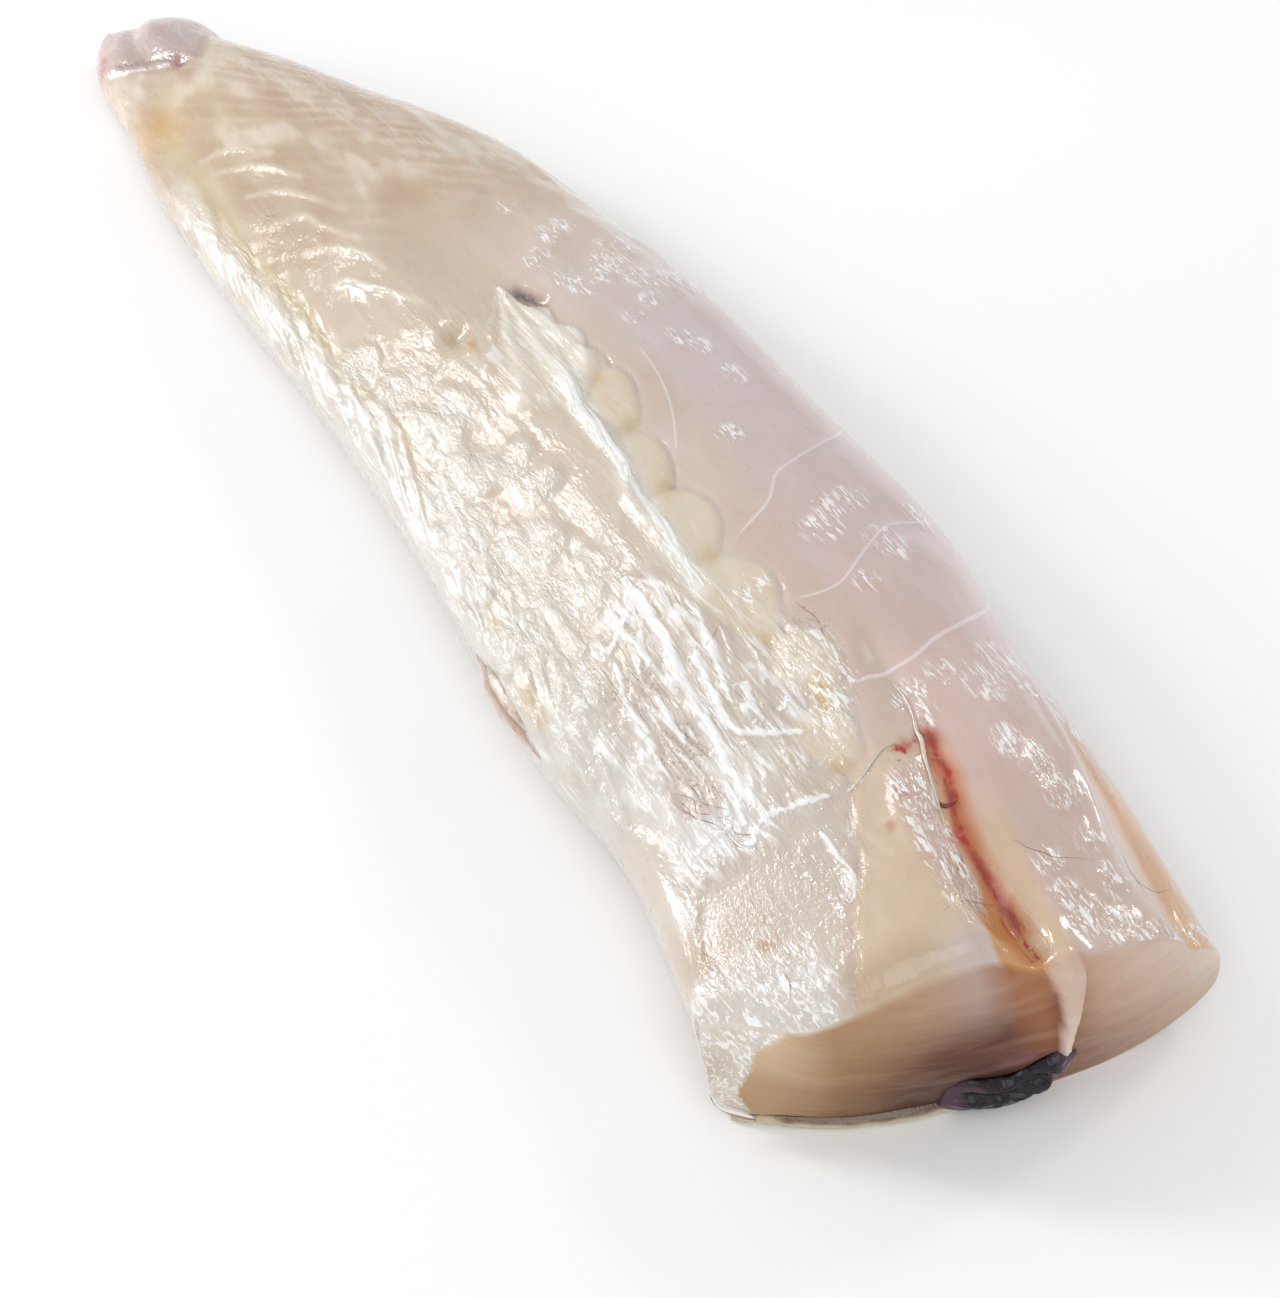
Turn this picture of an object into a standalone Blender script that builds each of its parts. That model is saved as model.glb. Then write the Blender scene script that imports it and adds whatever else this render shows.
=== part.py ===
"""Monkfish tail fillet: the skinned flesh of one side of the tail, lying with its bone side up.

+X runs along the fillet from the thin tail tip to the thick cut end, +Y across it to the
smooth outer lobe, +Z up. The origin is under the middle of the fillet, on what it lies on.
"""

import math

import bmesh
import bpy
import numpy as np

MM = 0.001

# ---- driving dimensions -------------------------------------------------------------------
AXIS = 318.6 * MM            # long axis, from the tail tip to the middle of the cut
# Shares of the axis at which the outline and the height are given.
PLACES = (0.0, 0.03, 0.08, 0.15, 0.24, 0.35, 0.47, 0.59, 0.71, 0.81, 0.90, 1.0)
# Distance of the left and right edges from the axis, and height of the plain arch, in mm.
LEFT = (-12.5, -17.3, -19.6, -23.9, -26.4, -26.7, -28.4, -32.7, -36.9, -36.4, -41.7, -48.6)
RIGHT = (12.0, 10.0, 17.5, 27.8, 41.6, 47.9, 52.7, 53.4, 53.5, 47.9, 45.9, 41.2)
HEIGHT = (13.3, 14.7, 17.1, 20.4, 24.7, 29.5, 33.3, 36.1, 39.0, 39.9, 39.0, 37.1)

EDGE_SHARE = 0.34            # height of the widest line, as a share of the arch's height
ARCH_POWER = 0.8             # below 1 gives a broad back that turns down late
BASE_POWER = 0.5             # the same for the underside
BASE_FLAT = 1.06             # above 1 presses the middle of the underside flat

# The tail tip is a blunt knob: it closes in height within NOSE of the axis.
NOSE = 0.035
TIP_WIDTH = 0.72             # width left at the very tip, as a share of the outline's
TIP_KEYS = ((-1.0, -4.9), (-0.5, -2.9), (0.0, -1.2), (0.5, 1.5), (1.0, 6.9))   # across, mm
TIP_REACH = 14               # power by which the tip's own outline fades along the axis
TIP_CREASE = -0.35           # where across the tip a crease parts its two lobes
TIP_CREASE_DEPTH = 2.4
TIP_CREASE_WIDTH = 0.2

# The knife's cut: how far each part of it is set back from the axis's end, in mm.
CUT_KEYS = ((-1.0, 18.9), (-0.6, 6.5), (-0.2, -1.1), (0.2, -5.9), (0.6, -8.3), (1.0, -8.2))
CUT_SLANT = 7.7              # how far its upper rim leans back, in mm
CUT_BULGE = 1.8              # how far the cut flesh swells out, in mm
CUT_REACH = 6                # power by which the cut's outline fades along the axis
FULL_HEIGHT = 43.0           # height at which the whole slant is reached, in mm

# Relief of the upper side. Depths are in mm, places across run from -1 (left) to 1 (right).
LEFT_FALL = 0.22             # share of the height lost towards the left edge
VALLEY_LINE = ((0.0, -0.30), (0.3, -0.15), (0.53, -0.02), (0.72, -0.12), (0.9, -0.2), (1.0, -0.2))
VALLEY_DEPTH = 2.1
VALLEY_WIDTH = 0.16
GROOVE_LINE = ((0.76, 0.24), (0.85, 0.20), (0.92, 0.16), (1.0, 0.20))
GROOVE_DEPTH = ((0.76, 0.0), (0.85, 3.8), (0.92, 9.5), (1.0, 20.9))
GROOVE_WIDTH = ((0.76, 0.05), (0.9, 0.10), (1.0, 0.11))
LOBE_SWELL = 2.4             # the outer lobe swells behind the cut
LOBE_DROP = 8.6              # and falls towards it
FLAP_DROP = 4.8              # step down from the lobe's crest to the flap beside it

RINGS = 52                   # steps along the axis
COLUMNS = 32                 # steps across, on the upper side and on the underside
RING_CROWDING = 1.25         # above 1 crowds the rings towards the tip
CUT_ROWS = 4                 # steps up the cut

FLESH = (0.70, 0.58, 0.48, 1.0)
FLESH_ROUGHNESS = 0.35


# ---- curves -------------------------------------------------------------------------------
def curve(keys, place):
    """Smooth curve through (place, value) pairs, level beyond the first and last."""
    at = np.array([key[0] for key in keys])
    value = np.array([key[1] for key in keys])
    slope = np.gradient(value, at)
    place = np.clip(place, at[0], at[-1])
    i = np.clip(np.searchsorted(at, place, side="right") - 1, 0, len(at) - 2)
    step = at[i + 1] - at[i]
    f = (place - at[i]) / step
    rise = slope[i] * step * f * (1 - f) ** 2 + slope[i + 1] * step * f * f * (f - 1)
    return value[i] * (1 + 2 * f) * (1 - f) ** 2 + value[i + 1] * f * f * (3 - 2 * f) + rise


def ramp(low, high, x):
    """Smooth step from 0 at low to 1 at high."""
    t = np.clip((x - low) / (high - low), 0, 1)
    return t * t * (3 - 2 * t)


def hump(x, middle, width):
    return np.exp(-(((x - middle) / width) ** 2))


# ---- the form -----------------------------------------------------------------------------
def relief(along, across, arch):
    """What the upper side adds to the plain arch, in mm."""
    rise = -LEFT_FALL * arch * ramp(0.0, -0.95, across)
    valley = hump(across, curve(VALLEY_LINE, along), VALLEY_WIDTH)
    rise -= VALLEY_DEPTH * valley * ramp(0.2, 0.45, along) * ramp(0.97, 0.8, along)
    off_line = np.abs(across - curve(GROOVE_LINE, along)) / curve(GROOVE_WIDTH, along)
    rise -= curve(GROOVE_DEPTH, along) * np.exp(-(off_line**1.6)) * ramp(0.75, 0.8, along)
    rise += LOBE_SWELL * hump(across, 0.5, 0.3) * ramp(0.55, 0.9, along)
    rise -= LOBE_DROP * ramp(-0.05, 0.45, across) * ramp(0.86, 1.0, along)
    rise -= FLAP_DROP * ramp(0.72, 0.86, across) * ramp(0.83, 0.9, along)
    crease = hump(across, TIP_CREASE, TIP_CREASE_WIDTH)
    rise -= TIP_CREASE_DEPTH * crease * ramp(0.09, 0.03, along)
    return rise


def surface(along, angle):
    """Points of the skin in mm: along runs 0 to 1, angle turns from the right edge over the top."""
    across = np.cos(angle)
    up = np.sin(angle)
    left = curve(tuple(zip(PLACES, LEFT)), along)
    right = curve(tuple(zip(PLACES, RIGHT)), along)
    arch = curve(tuple(zip(PLACES, HEIGHT)), along)

    before_nose = np.clip(1 - along / NOSE, 0, 1)
    close = np.sqrt(1 - before_nose**2)
    width = TIP_WIDTH + (1 - TIP_WIDTH) * np.sqrt(1 - before_nose**2.4)
    y = (left + right) / 2 + (right - left) / 2 * width * across

    edge = EDGE_SHARE * arch
    top = edge + (arch + relief(along, across, arch) - edge) * np.abs(up) ** ARCH_POWER
    base = edge * np.clip(1 - BASE_FLAT * np.abs(up) ** BASE_POWER, 0, 1)
    middle = 0.42 * arch
    z = middle + (np.where(up >= 0, top, base) - middle) * close

    set_back = curve(CUT_KEYS, across) + CUT_SLANT * np.clip(z / FULL_HEIGHT, 0, 1) ** 1.5
    tip = curve(TIP_KEYS, across)
    x = AXIS / MM * along - set_back * along**CUT_REACH + tip * (1 - along) ** TIP_REACH
    return np.stack([x, y, z], axis=-1)


def fillet_mesh():
    """One closed skin: a tip line, rings round the body, and rows of the cut."""
    points = []
    index = {}

    def add(key, point):
        index[key] = len(points)
        points.append(tuple(float(c) for c in point))

    angles = np.arange(2 * COLUMNS) * math.pi / COLUMNS
    places = np.linspace(0, 1, RINGS + 1) ** RING_CROWDING
    body = surface(*np.meshgrid(places, angles, indexing="ij"))
    for k in range(2 * COLUMNS):
        if k <= COLUMNS:
            add((0, k), body[0, k])
        else:
            index[(0, k)] = index[(0, 2 * COLUMNS - k)]
    for ring in range(1, RINGS + 1):
        for k in range(2 * COLUMNS):
            add((ring, k), body[ring, k])

    faces = []
    for ring in range(RINGS):
        for k in range(2 * COLUMNS):
            after = (k + 1) % (2 * COLUMNS)
            faces.append([index[(ring, k)], index[(ring, after)],
                          index[(ring + 1, after)], index[(ring + 1, k)]])

    def cut(column, row):
        """Corner of the cut's grid: row 0 is the lower rim, the last row the upper rim."""
        if row == CUT_ROWS or column in (0, COLUMNS):
            return index[(RINGS, column)]
        if row == 0:
            return index[(RINGS, 2 * COLUMNS - column)]
        return index[("cut", column, row)]

    for column in range(1, COLUMNS):
        low = body[RINGS, 2 * COLUMNS - column]
        high = body[RINGS, column]
        for row in range(1, CUT_ROWS):
            share = row / CUT_ROWS
            swell = CUT_BULGE * math.sin(math.pi * share) * math.sin(angles[column])
            add(("cut", column, row), low + (high - low) * share + (swell, 0, 0))
    for column in range(COLUMNS):
        for row in range(CUT_ROWS):
            faces.append([cut(column, row), cut(column, row + 1),
                          cut(column + 1, row + 1), cut(column + 1, row)])

    whole = [list(dict.fromkeys(face)) for face in faces]
    mesh = bpy.data.meshes.new("fillet")
    mesh.from_pydata(centred(np.array(points)) * MM, [], [f for f in whole if len(f) > 2])
    return mesh


def centred(points):
    """Moved so that the box round the points stands on the origin."""
    low = points.min(axis=0)
    high = points.max(axis=0)
    return points - ((low[0] + high[0]) / 2, (low[1] + high[1]) / 2, low[2])


def flesh_material():
    material = bpy.data.materials.new("monkfish flesh")
    material.use_nodes = True
    shader = material.node_tree.nodes["Principled BSDF"]
    shader.inputs["Base Color"].default_value = FLESH
    shader.inputs["Roughness"].default_value = FLESH_ROUGHNESS
    shader.inputs["Metallic"].default_value = 0.0
    return material


def main():
    for old in list(bpy.data.objects):
        bpy.data.objects.remove(old)
    mesh = fillet_mesh()
    work = bmesh.new()
    work.from_mesh(mesh)
    bmesh.ops.recalc_face_normals(work, faces=work.faces)
    bmesh.ops.triangulate(work, faces=work.faces)
    work.to_mesh(mesh)
    work.free()
    mesh.materials.append(flesh_material())
    mesh.shade_smooth()
    mesh.set_sharp_from_angle(angle=math.radians(50))
    bpy.context.scene.collection.objects.link(bpy.data.objects.new("fillet", mesh))


main()
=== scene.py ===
"""Looks of the monkfish fillet: wet translucent flesh with its membranes, tendons, blood and cut face.

The flesh is one closed skin on the same form as the CAD solid, worked out at a fine step, with the
relief and the colours of the real thing laid over it. Thin things that stand off it are pieces of
their own. Sizes are in millimetres until a mesh is made, places on the skin are (along, across):
along runs from 0 at the tail tip to 1 at the cut, across from -1 at the left edge to 1 at the right.
"""

import math

import bpy
import numpy as np
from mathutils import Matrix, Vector
from mathutils.bvhtree import BVHTree


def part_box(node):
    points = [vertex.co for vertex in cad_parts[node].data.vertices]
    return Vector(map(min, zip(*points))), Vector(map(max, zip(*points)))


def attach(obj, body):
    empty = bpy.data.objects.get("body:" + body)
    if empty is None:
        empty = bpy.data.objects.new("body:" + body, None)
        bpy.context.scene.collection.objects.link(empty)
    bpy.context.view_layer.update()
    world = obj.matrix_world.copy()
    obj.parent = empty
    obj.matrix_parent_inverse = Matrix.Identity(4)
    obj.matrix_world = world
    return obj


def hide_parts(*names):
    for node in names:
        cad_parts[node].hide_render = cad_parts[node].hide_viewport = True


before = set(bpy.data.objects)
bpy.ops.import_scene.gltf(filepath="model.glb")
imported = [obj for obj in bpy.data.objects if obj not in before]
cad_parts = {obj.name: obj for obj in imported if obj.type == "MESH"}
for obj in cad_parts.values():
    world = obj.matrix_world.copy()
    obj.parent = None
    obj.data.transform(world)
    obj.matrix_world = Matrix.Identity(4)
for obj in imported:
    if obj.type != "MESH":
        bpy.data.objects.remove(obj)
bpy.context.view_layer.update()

MM = 0.001

# ---- the CAD form's driving sizes, as in its source ---------------------------------------
AXIS = 318.6
PLACES = (0.0, 0.03, 0.08, 0.15, 0.24, 0.35, 0.47, 0.59, 0.71, 0.81, 0.90, 1.0)
LEFT = (-12.5, -17.3, -19.6, -23.9, -26.4, -26.7, -28.4, -32.7, -36.9, -36.4, -41.7, -48.6)
RIGHT = (12.0, 10.0, 17.5, 27.8, 41.6, 47.9, 52.7, 53.4, 53.5, 47.9, 45.9, 41.2)
HEIGHT = (13.3, 14.7, 17.1, 20.4, 24.7, 29.5, 33.3, 36.1, 39.0, 39.9, 39.0, 37.1)
EDGE_SHARE = 0.34
ARCH_POWER = 0.8
BASE_POWER = 0.5
BASE_FLAT = 1.06
MIDDLE_SHARE = 0.42
NOSE = 0.035
TIP_WIDTH = 0.72
TIP_KEYS = ((-1.0, -4.9), (-0.5, -2.9), (0.0, -1.2), (0.5, 1.5), (1.0, 6.9))
TIP_REACH = 14
TIP_CREASE = -0.35
TIP_CREASE_DEPTH = 2.4
TIP_CREASE_WIDTH = 0.2
CUT_KEYS = ((-1.0, 18.9), (-0.6, 6.5), (-0.2, -1.1), (0.2, -5.9), (0.6, -8.3), (1.0, -8.2))
CUT_SLANT = 7.7
CUT_BULGE = 1.8
CUT_REACH = 6
FULL_HEIGHT = 43.0
LEFT_FALL = 0.22
VALLEY_LINE = ((0.0, -0.30), (0.3, -0.15), (0.53, -0.02), (0.72, -0.12), (0.9, -0.2), (1.0, -0.2))
VALLEY_DEPTH = 2.1
VALLEY_WIDTH = 0.16
GROOVE_LINE = ((0.76, 0.24), (0.85, 0.20), (0.92, 0.16), (1.0, 0.20))
GROOVE_DEPTH = ((0.76, 0.0), (0.85, 3.8), (0.92, 9.5), (1.0, 20.9))
GROOVE_WIDTH = ((0.76, 0.05), (0.9, 0.10), (1.0, 0.11))
LOBE_SWELL = 2.4
LOBE_DROP = 8.6
FLAP_DROP = 4.8

# ---- the skin's steps ---------------------------------------------------------------------
RINGS = 300
COLUMNS = 240                # across the upper side
UNDER_EVERY = 6              # one column of the underside for so many of the upper side
CUT_ROWS = 44
RING_CROWDING = 1.08
CORNER_ROUNDING = 7.0        # how far the top of the cut's left corner lies back
RIM_ROUNDING = 2.4           # of the edge between the upper side and the cut

# ---- view ---------------------------------------------------------------------------------
VIEW_AZIMUTH = 57.8          # degrees from looking along +Y
VIEW_ELEVATION = 50.0
VIEW_TARGET = (41.3, -4.5, 0.0)
VIEW_DISTANCE = 740.4
LENS = 107.0
SENSOR = 36.0


# ---- curves, steps and noise --------------------------------------------------------------
def curve(keys, place):
    """Smooth curve through (place, value) pairs, level beyond the first and last."""
    at = np.array([key[0] for key in keys])
    value = np.array([key[1] for key in keys])
    slope = np.gradient(value, at)
    place = np.clip(place, at[0], at[-1])
    i = np.clip(np.searchsorted(at, place, side="right") - 1, 0, len(at) - 2)
    step = at[i + 1] - at[i]
    f = (place - at[i]) / step
    rise = slope[i] * step * f * (1 - f) ** 2 + slope[i + 1] * step * f * f * (f - 1)
    return value[i] * (1 + 2 * f) * (1 - f) ** 2 + value[i + 1] * f * f * (3 - 2 * f) + rise


def smooth_line(places, count):
    """Smooth row of values through a few places of any number of coordinates."""
    keys = np.array(places, float)
    t = np.linspace(0, len(keys) - 1, count)
    return np.stack([curve(tuple(zip(range(len(keys)), values)), t) for values in keys.T], axis=1)


def ramp(low, high, x):
    """Smooth step from 0 at low to 1 at high."""
    t = np.clip((x - low) / (high - low), 0, 1)
    return t * t * (3 - 2 * t)


def window(x, low, high, soft):
    """1 between low and high, with soft edges."""
    return ramp(low - soft, low + soft, x) * ramp(high + soft, high - soft, x)


def hump(x, middle, width):
    return np.exp(-(((x - middle) / width) ** 2))


def lattice(cell, seed):
    """Fixed pseudo-random numbers from -1 to 1 at whole-number places."""
    mixed = cell[..., 0] * 73856093 ^ cell[..., 1] * 19349663 ^ cell[..., 2] * 83492791
    mixed = (mixed + seed * 668265263) & 0xFFFFFFFF
    mixed = ((mixed ^ (mixed >> 13)) * 1274126177) & 0xFFFFFFFF
    return ((mixed ^ (mixed >> 16)) & 0xFFFF) / 32767.5 - 1


def noise(points, size, seed):
    """Smooth noise from -1 to 1. Size is in mm, one number or one for each axis."""
    place = points / np.array(size, float) + seed * 7.31
    cell = np.floor(place).astype(np.int64)
    f = place - cell
    f = f * f * (3 - 2 * f)
    total = 0
    for dx in (0, 1):
        for dy in (0, 1):
            for dz in (0, 1):
                share = ((f[..., 0] if dx else 1 - f[..., 0])
                         * (f[..., 1] if dy else 1 - f[..., 1])
                         * (f[..., 2] if dz else 1 - f[..., 2]))
                total = total + share * lattice(cell + (dx, dy, dz), seed)
    return total


def fractal(points, size, seed, octaves=3):
    size = np.array(size, float)
    parts = [noise(points, size / 2**n, seed + n) / 2**n for n in range(octaves)]
    return sum(parts) / sum(1 / 2**n for n in range(octaves))


def ridged(points, size, seed):
    """Noise with sharp crests: 1 on a crest, 0 or less between."""
    return 1 - 2 * np.abs(noise(points, size, seed))


# ---- the form -----------------------------------------------------------------------------
STRAND_STEP = 0.7            # between the points of a line on the upper side, in mm


def groove_depth(along, across):
    off_line = np.abs(across - curve(GROOVE_LINE, along)) / curve(GROOVE_WIDTH, along)
    return curve(GROOVE_DEPTH, along) * np.exp(-(off_line**1.6)) * ramp(0.75, 0.8, along)


def plain_relief(along, across, arch):
    rise = -LEFT_FALL * arch * ramp(0.0, -0.95, across)
    valley = hump(across, curve(VALLEY_LINE, along), VALLEY_WIDTH)
    rise -= VALLEY_DEPTH * valley * ramp(0.2, 0.45, along) * ramp(0.97, 0.8, along)
    rise -= groove_depth(along, across)
    rise += LOBE_SWELL * hump(across, 0.5, 0.3) * ramp(0.55, 0.9, along)
    rise -= LOBE_DROP * ramp(-0.05, 0.45, across) * ramp(0.86, 1.0, along)
    rise -= FLAP_DROP * ramp(0.72, 0.86, across) * ramp(0.83, 0.9, along)
    crease = hump(across, TIP_CREASE, TIP_CREASE_WIDTH)
    rise -= TIP_CREASE_DEPTH * crease * ramp(0.09, 0.03, along)
    return rise


def form(along, angle):
    """Points of the plain form; angle turns from the right edge over the top to the left edge."""
    across = np.cos(angle)
    up = np.sin(angle)
    left = curve(tuple(zip(PLACES, LEFT)), along)
    right = curve(tuple(zip(PLACES, RIGHT)), along)
    arch = curve(tuple(zip(PLACES, HEIGHT)), along)

    before_nose = np.clip(1 - along / NOSE, 0, 1)
    close = np.sqrt(1 - before_nose**2)
    width = TIP_WIDTH + (1 - TIP_WIDTH) * np.sqrt(1 - before_nose**2.4)
    y = (left + right) / 2 + (right - left) / 2 * width * across

    edge = EDGE_SHARE * arch
    top = edge + (arch + plain_relief(along, across, arch) - edge) * np.abs(up) ** ARCH_POWER
    base = edge * np.clip(1 - BASE_FLAT * np.abs(up) ** BASE_POWER, 0, 1)
    middle = MIDDLE_SHARE * arch
    z = middle + (np.where(up >= 0, top, base) - middle) * close

    set_back = curve(CUT_KEYS, across) + CUT_SLANT * np.clip(z / FULL_HEIGHT, 0, 1) ** 1.5
    tip = curve(TIP_KEYS, across)
    x = AXIS * along - set_back * along**CUT_REACH + tip * (1 - along) ** TIP_REACH
    return np.stack([x, y, z], axis=-1)


def form_shift():
    """What moves the form so that its box stands where the CAD node's box does."""
    low, high = (np.array(corner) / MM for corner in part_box("fillet"))
    along, angle = np.meshgrid(np.linspace(0, 1, 200), np.linspace(0, 2 * math.pi, 200))
    points = form(along, angle).reshape(-1, 3)
    middle = (points.min(axis=0) + points.max(axis=0)) / 2
    shift = (low + high) / 2 - middle
    shift[2] = low[2] - points[:, 2].min()
    return shift


SHIFT = form_shift()


def skin(along, across):
    """Points of the plain form's upper side at places on the skin."""
    return form(np.asarray(along, float), np.arccos(np.clip(across, -1, 1))) + SHIFT


def strand(places):
    """Smooth line on the upper side through a few places, as (along, across, points)."""
    rough = skin(*np.array(places, float).T)
    length = np.linalg.norm(np.diff(rough, axis=0), axis=1).sum()
    along, across = smooth_line(places, max(8, int(length / STRAND_STEP))).T
    return along, across, skin(along, across)


def reach_of(points, line, reach):
    """Distance from each point to a line's points, but never more than reach, and the share
    of the line's length at the nearest of them."""
    away = np.full(len(points), float(reach))
    share = np.zeros(len(points))
    low = line.min(axis=0) - reach
    high = line.max(axis=0) + reach
    near = np.nonzero(np.all((points > low) & (points < high), axis=1))[0]
    for chunk in np.array_split(near, max(1, len(near) // 4000)):
        if len(chunk):
            gap = np.linalg.norm(points[chunk, None] - line[None], axis=2)
            best = gap.argmin(axis=1)
            nearest = gap[np.arange(len(chunk)), best]
            share[chunk] = best / (len(line) - 1)
            away[chunk] = np.minimum(nearest, reach)
    return away, share


# ---- places of what shows on the upper side ----------------------------------------------
# Middle line of the row of hollows that the backbone left, and what lies right of it.
SEAM = ((0.0, -0.2), (0.3, 0.0), (0.42, 0.06), (0.53, 0.10), (0.65, 0.03), (0.72, -0.02),
        (0.78, 0.06), (0.83, 0.0), (0.87, -0.19), (0.91, -0.28), (0.945, -0.40), (1.0, -0.50))
# The hollows: (along, across, length, width, turn in degrees, height), in mm.
HOLLOWS = (
    (0.500, 0.040, 11.0, 6.5, -4, 0.5),
    (0.536, 0.025, 17.0, 9.0, -12, 0.8),
    (0.592, -0.035, 18.0, 8.5, -10, 0.8),
    (0.650, -0.080, 21.0, 11.0, -9, 0.9),
    (0.718, -0.110, 24.0, 13.0, -4, 0.7),
    (0.782, -0.040, 16.0, 13.0, 4, 0.5),
    (0.832, -0.150, 15.0, 11.0, 10, 0.4),
)
TENDON = ((0.485, -0.07), (0.507, -0.09), (0.527, -0.12), (0.546, -0.13), (0.566, -0.14), (0.586, -0.145),
          (0.602, -0.165), (0.650, -0.18), (0.681, -0.20), (0.70, -0.21))
SLIT = ((0.418, 0.03), (0.427, 0.055), (0.437, 0.085))
# Flaky masses of the left half: (size in mm, places).
MASSES = (
    (5.0, ((0.395, -0.76), (0.535, -0.52))),
    (5.5, ((0.562, -0.47),)),
    (6.0, ((0.594, -0.88),)),
    (7.0, ((0.648, -0.86), (0.705, -0.80))),
    (8.0, ((0.435, -0.72), (0.554, -0.80))),
    (10.0, ((0.477, -0.66), (0.516, -0.72), (0.648, -0.62), (0.665, -0.76))),
    (11.0, ((0.600, -0.70),)),
)
SEPTA = (
    ((0.503, 0.29), (0.534, 0.27), (0.566, 0.20), (0.599, 0.08)),
    ((0.681, -0.03), (0.666, 0.23), (0.646, 0.37), (0.638, 0.50), (0.628, 0.67), (0.619, 0.81),
     (0.606, 0.92), (0.590, 0.985)),
    ((0.738, 0.04), (0.743, 0.18), (0.740, 0.30), (0.721, 0.50), (0.708, 0.65), (0.703, 0.86),
     (0.690, 0.95), (0.672, 0.99)),
    ((0.811, 0.05), (0.810, 0.13), (0.810, 0.22), (0.810, 0.35), (0.801, 0.51), (0.793, 0.67),
     (0.780, 0.85), (0.766, 0.94), (0.748, 0.985)),
)
SEPTUM_WIDTHS = (0.35, 0.5, 0.5, 0.8)
CHEVRONS = (
    ((0.164, -0.67), (0.172, -0.47), (0.197, -0.30)),
    ((0.180, -0.67), (0.200, -0.42), (0.232, -0.31)),
    ((0.217, -0.61), (0.229, -0.47), (0.247, -0.38), (0.280, -0.29)),
    ((0.252, -0.63), (0.262, -0.47), (0.279, -0.44), (0.309, -0.36)),
    ((0.290, -0.61), (0.299, -0.50), (0.321, -0.40), (0.344, -0.38)),
    ((0.327, -0.62), (0.334, -0.54), (0.367, -0.43), (0.386, -0.37)),
)
MARGIN_CREASE = ((0.142, -0.73), (0.200, -0.76), (0.254, -0.82), (0.326, -0.82), (0.379, -0.84),
                 (0.459, -0.81), (0.538, -0.86), (0.60, -0.895), (0.66, -0.93), (0.70, -0.95))
# Raised folds of the membrane over the left half, and their widths in mm. The shader paints them white,
# partly their own white and partly painted highlight; the last runs along the groove's right wall as a
# painted highlight line.
FOLDS = (
    ((0.655, -0.43), (0.682, -0.425), (0.712, -0.44), (0.739, -0.47), (0.762, -0.50), (0.789, -0.52),
     (0.806, -0.54), (0.830, -0.53), (0.853, -0.52)),
    ((0.655, -0.43), (0.669, -0.44), (0.682, -0.49), (0.689, -0.57), (0.699, -0.65)),
    ((0.729, -0.38), (0.749, -0.41), (0.766, -0.43), (0.793, -0.45), (0.809, -0.35), (0.823, -0.18)),
    ((0.700, -0.40), (0.725, -0.43), (0.745, -0.45)),
    ((0.695, -0.49), (0.712, -0.53), (0.726, -0.55)),
    ((0.735, -0.61), (0.756, -0.65), (0.759, -0.61), (0.776, -0.65)),
    ((0.739, -0.59), (0.759, -0.61), (0.786, -0.62)),
    ((0.769, -0.30), (0.786, -0.33), (0.803, -0.33)),
    ((0.803, -0.26), (0.793, -0.18)),
    ((0.803, -0.54), (0.836, -0.58), (0.857, -0.60)),
    ((0.870, -0.63), (0.857, -0.53), (0.860, -0.43), (0.864, -0.33), (0.867, -0.25)),
    ((0.884, -0.36), (0.901, -0.35), (0.918, -0.33), (0.938, -0.36)),
    ((0.867, -0.20), (0.870, -0.18), (0.867, -0.10), (0.864, -0.08)),
    ((0.703, -0.26), (0.748, -0.34), (0.785, -0.42)),
    ((0.853, -0.82), (0.848, -0.70), (0.851, -0.52)),
    ((0.700, -0.62), (0.735, -0.69), (0.765, -0.70)),
    ((0.962, 0.245), (0.972, 0.255), (0.985, 0.26), (0.996, 0.26)),
)
FOLD_WIDTHS = (1.8, 1.6, 1.4, 1.0, 1.3, 0.8, 1.0, 1.2, 0.9, 1.1, 1.1, 1.0, 0.4, 0.9, 0.9, 0.9, 0.5)
# Brownish patches with dark specks: (size in mm, places).
SPECKLED = (
    (2.0, ((0.762, 0.09),)),
    (2.5, ((0.752, 0.06),)),
    (6.0, ((0.815, -0.70),)),
    (7.0, ((0.735, -0.65), (0.785, -0.63))),
)
LOBE_EDGE = ((0.870, -0.20), (0.895, -0.25), (0.920, -0.30), (0.945, -0.40), (0.965, -0.43),
             (0.992, -0.49))
DISC_MIDDLE = (0.926, -0.68)
DISC_RIM = ((0.898, -0.90), (0.874, -0.82), (0.868, -0.67), (0.886, -0.53), (0.913, -0.45),
            (0.943, -0.41), (0.970, -0.47), (0.985, -0.60), (0.975, -0.78), (0.940, -0.90),
            (0.912, -0.92), (0.898, -0.90))
SHIELD_RIM = ((0.913, -0.45), (0.891, -0.46), (0.888, -0.36), (0.905, -0.30), (0.930, -0.35),
              (0.938, -0.40))
LEFT_MEMBRANE = ((0.740, -0.95), (0.766, -0.96), (0.795, -0.97), (0.816, -0.95), (0.833, -0.91),
                 (0.850, -0.89), (0.880, -0.88), (0.915, -0.92), (0.957, -0.93), (0.997, -0.99))
WET_LINE = ((0.816, 0.22), (0.830, 0.235), (0.846, 0.225), (0.856, 0.20), (0.868, 0.205),
            (0.880, 0.20), (0.903, 0.185))
SIDE_LINE = ((0.872, -0.19), (0.866, -0.10), (0.858, 0.0), (0.857, 0.06))
CREST = ((0.805, 0.88), (0.838, 0.85), (0.865, 0.80), (0.891, 0.77), (0.913, 0.74), (0.937, 0.70),
         (0.960, 0.70), (0.985, 0.74), (1.0, 0.80))
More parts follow.
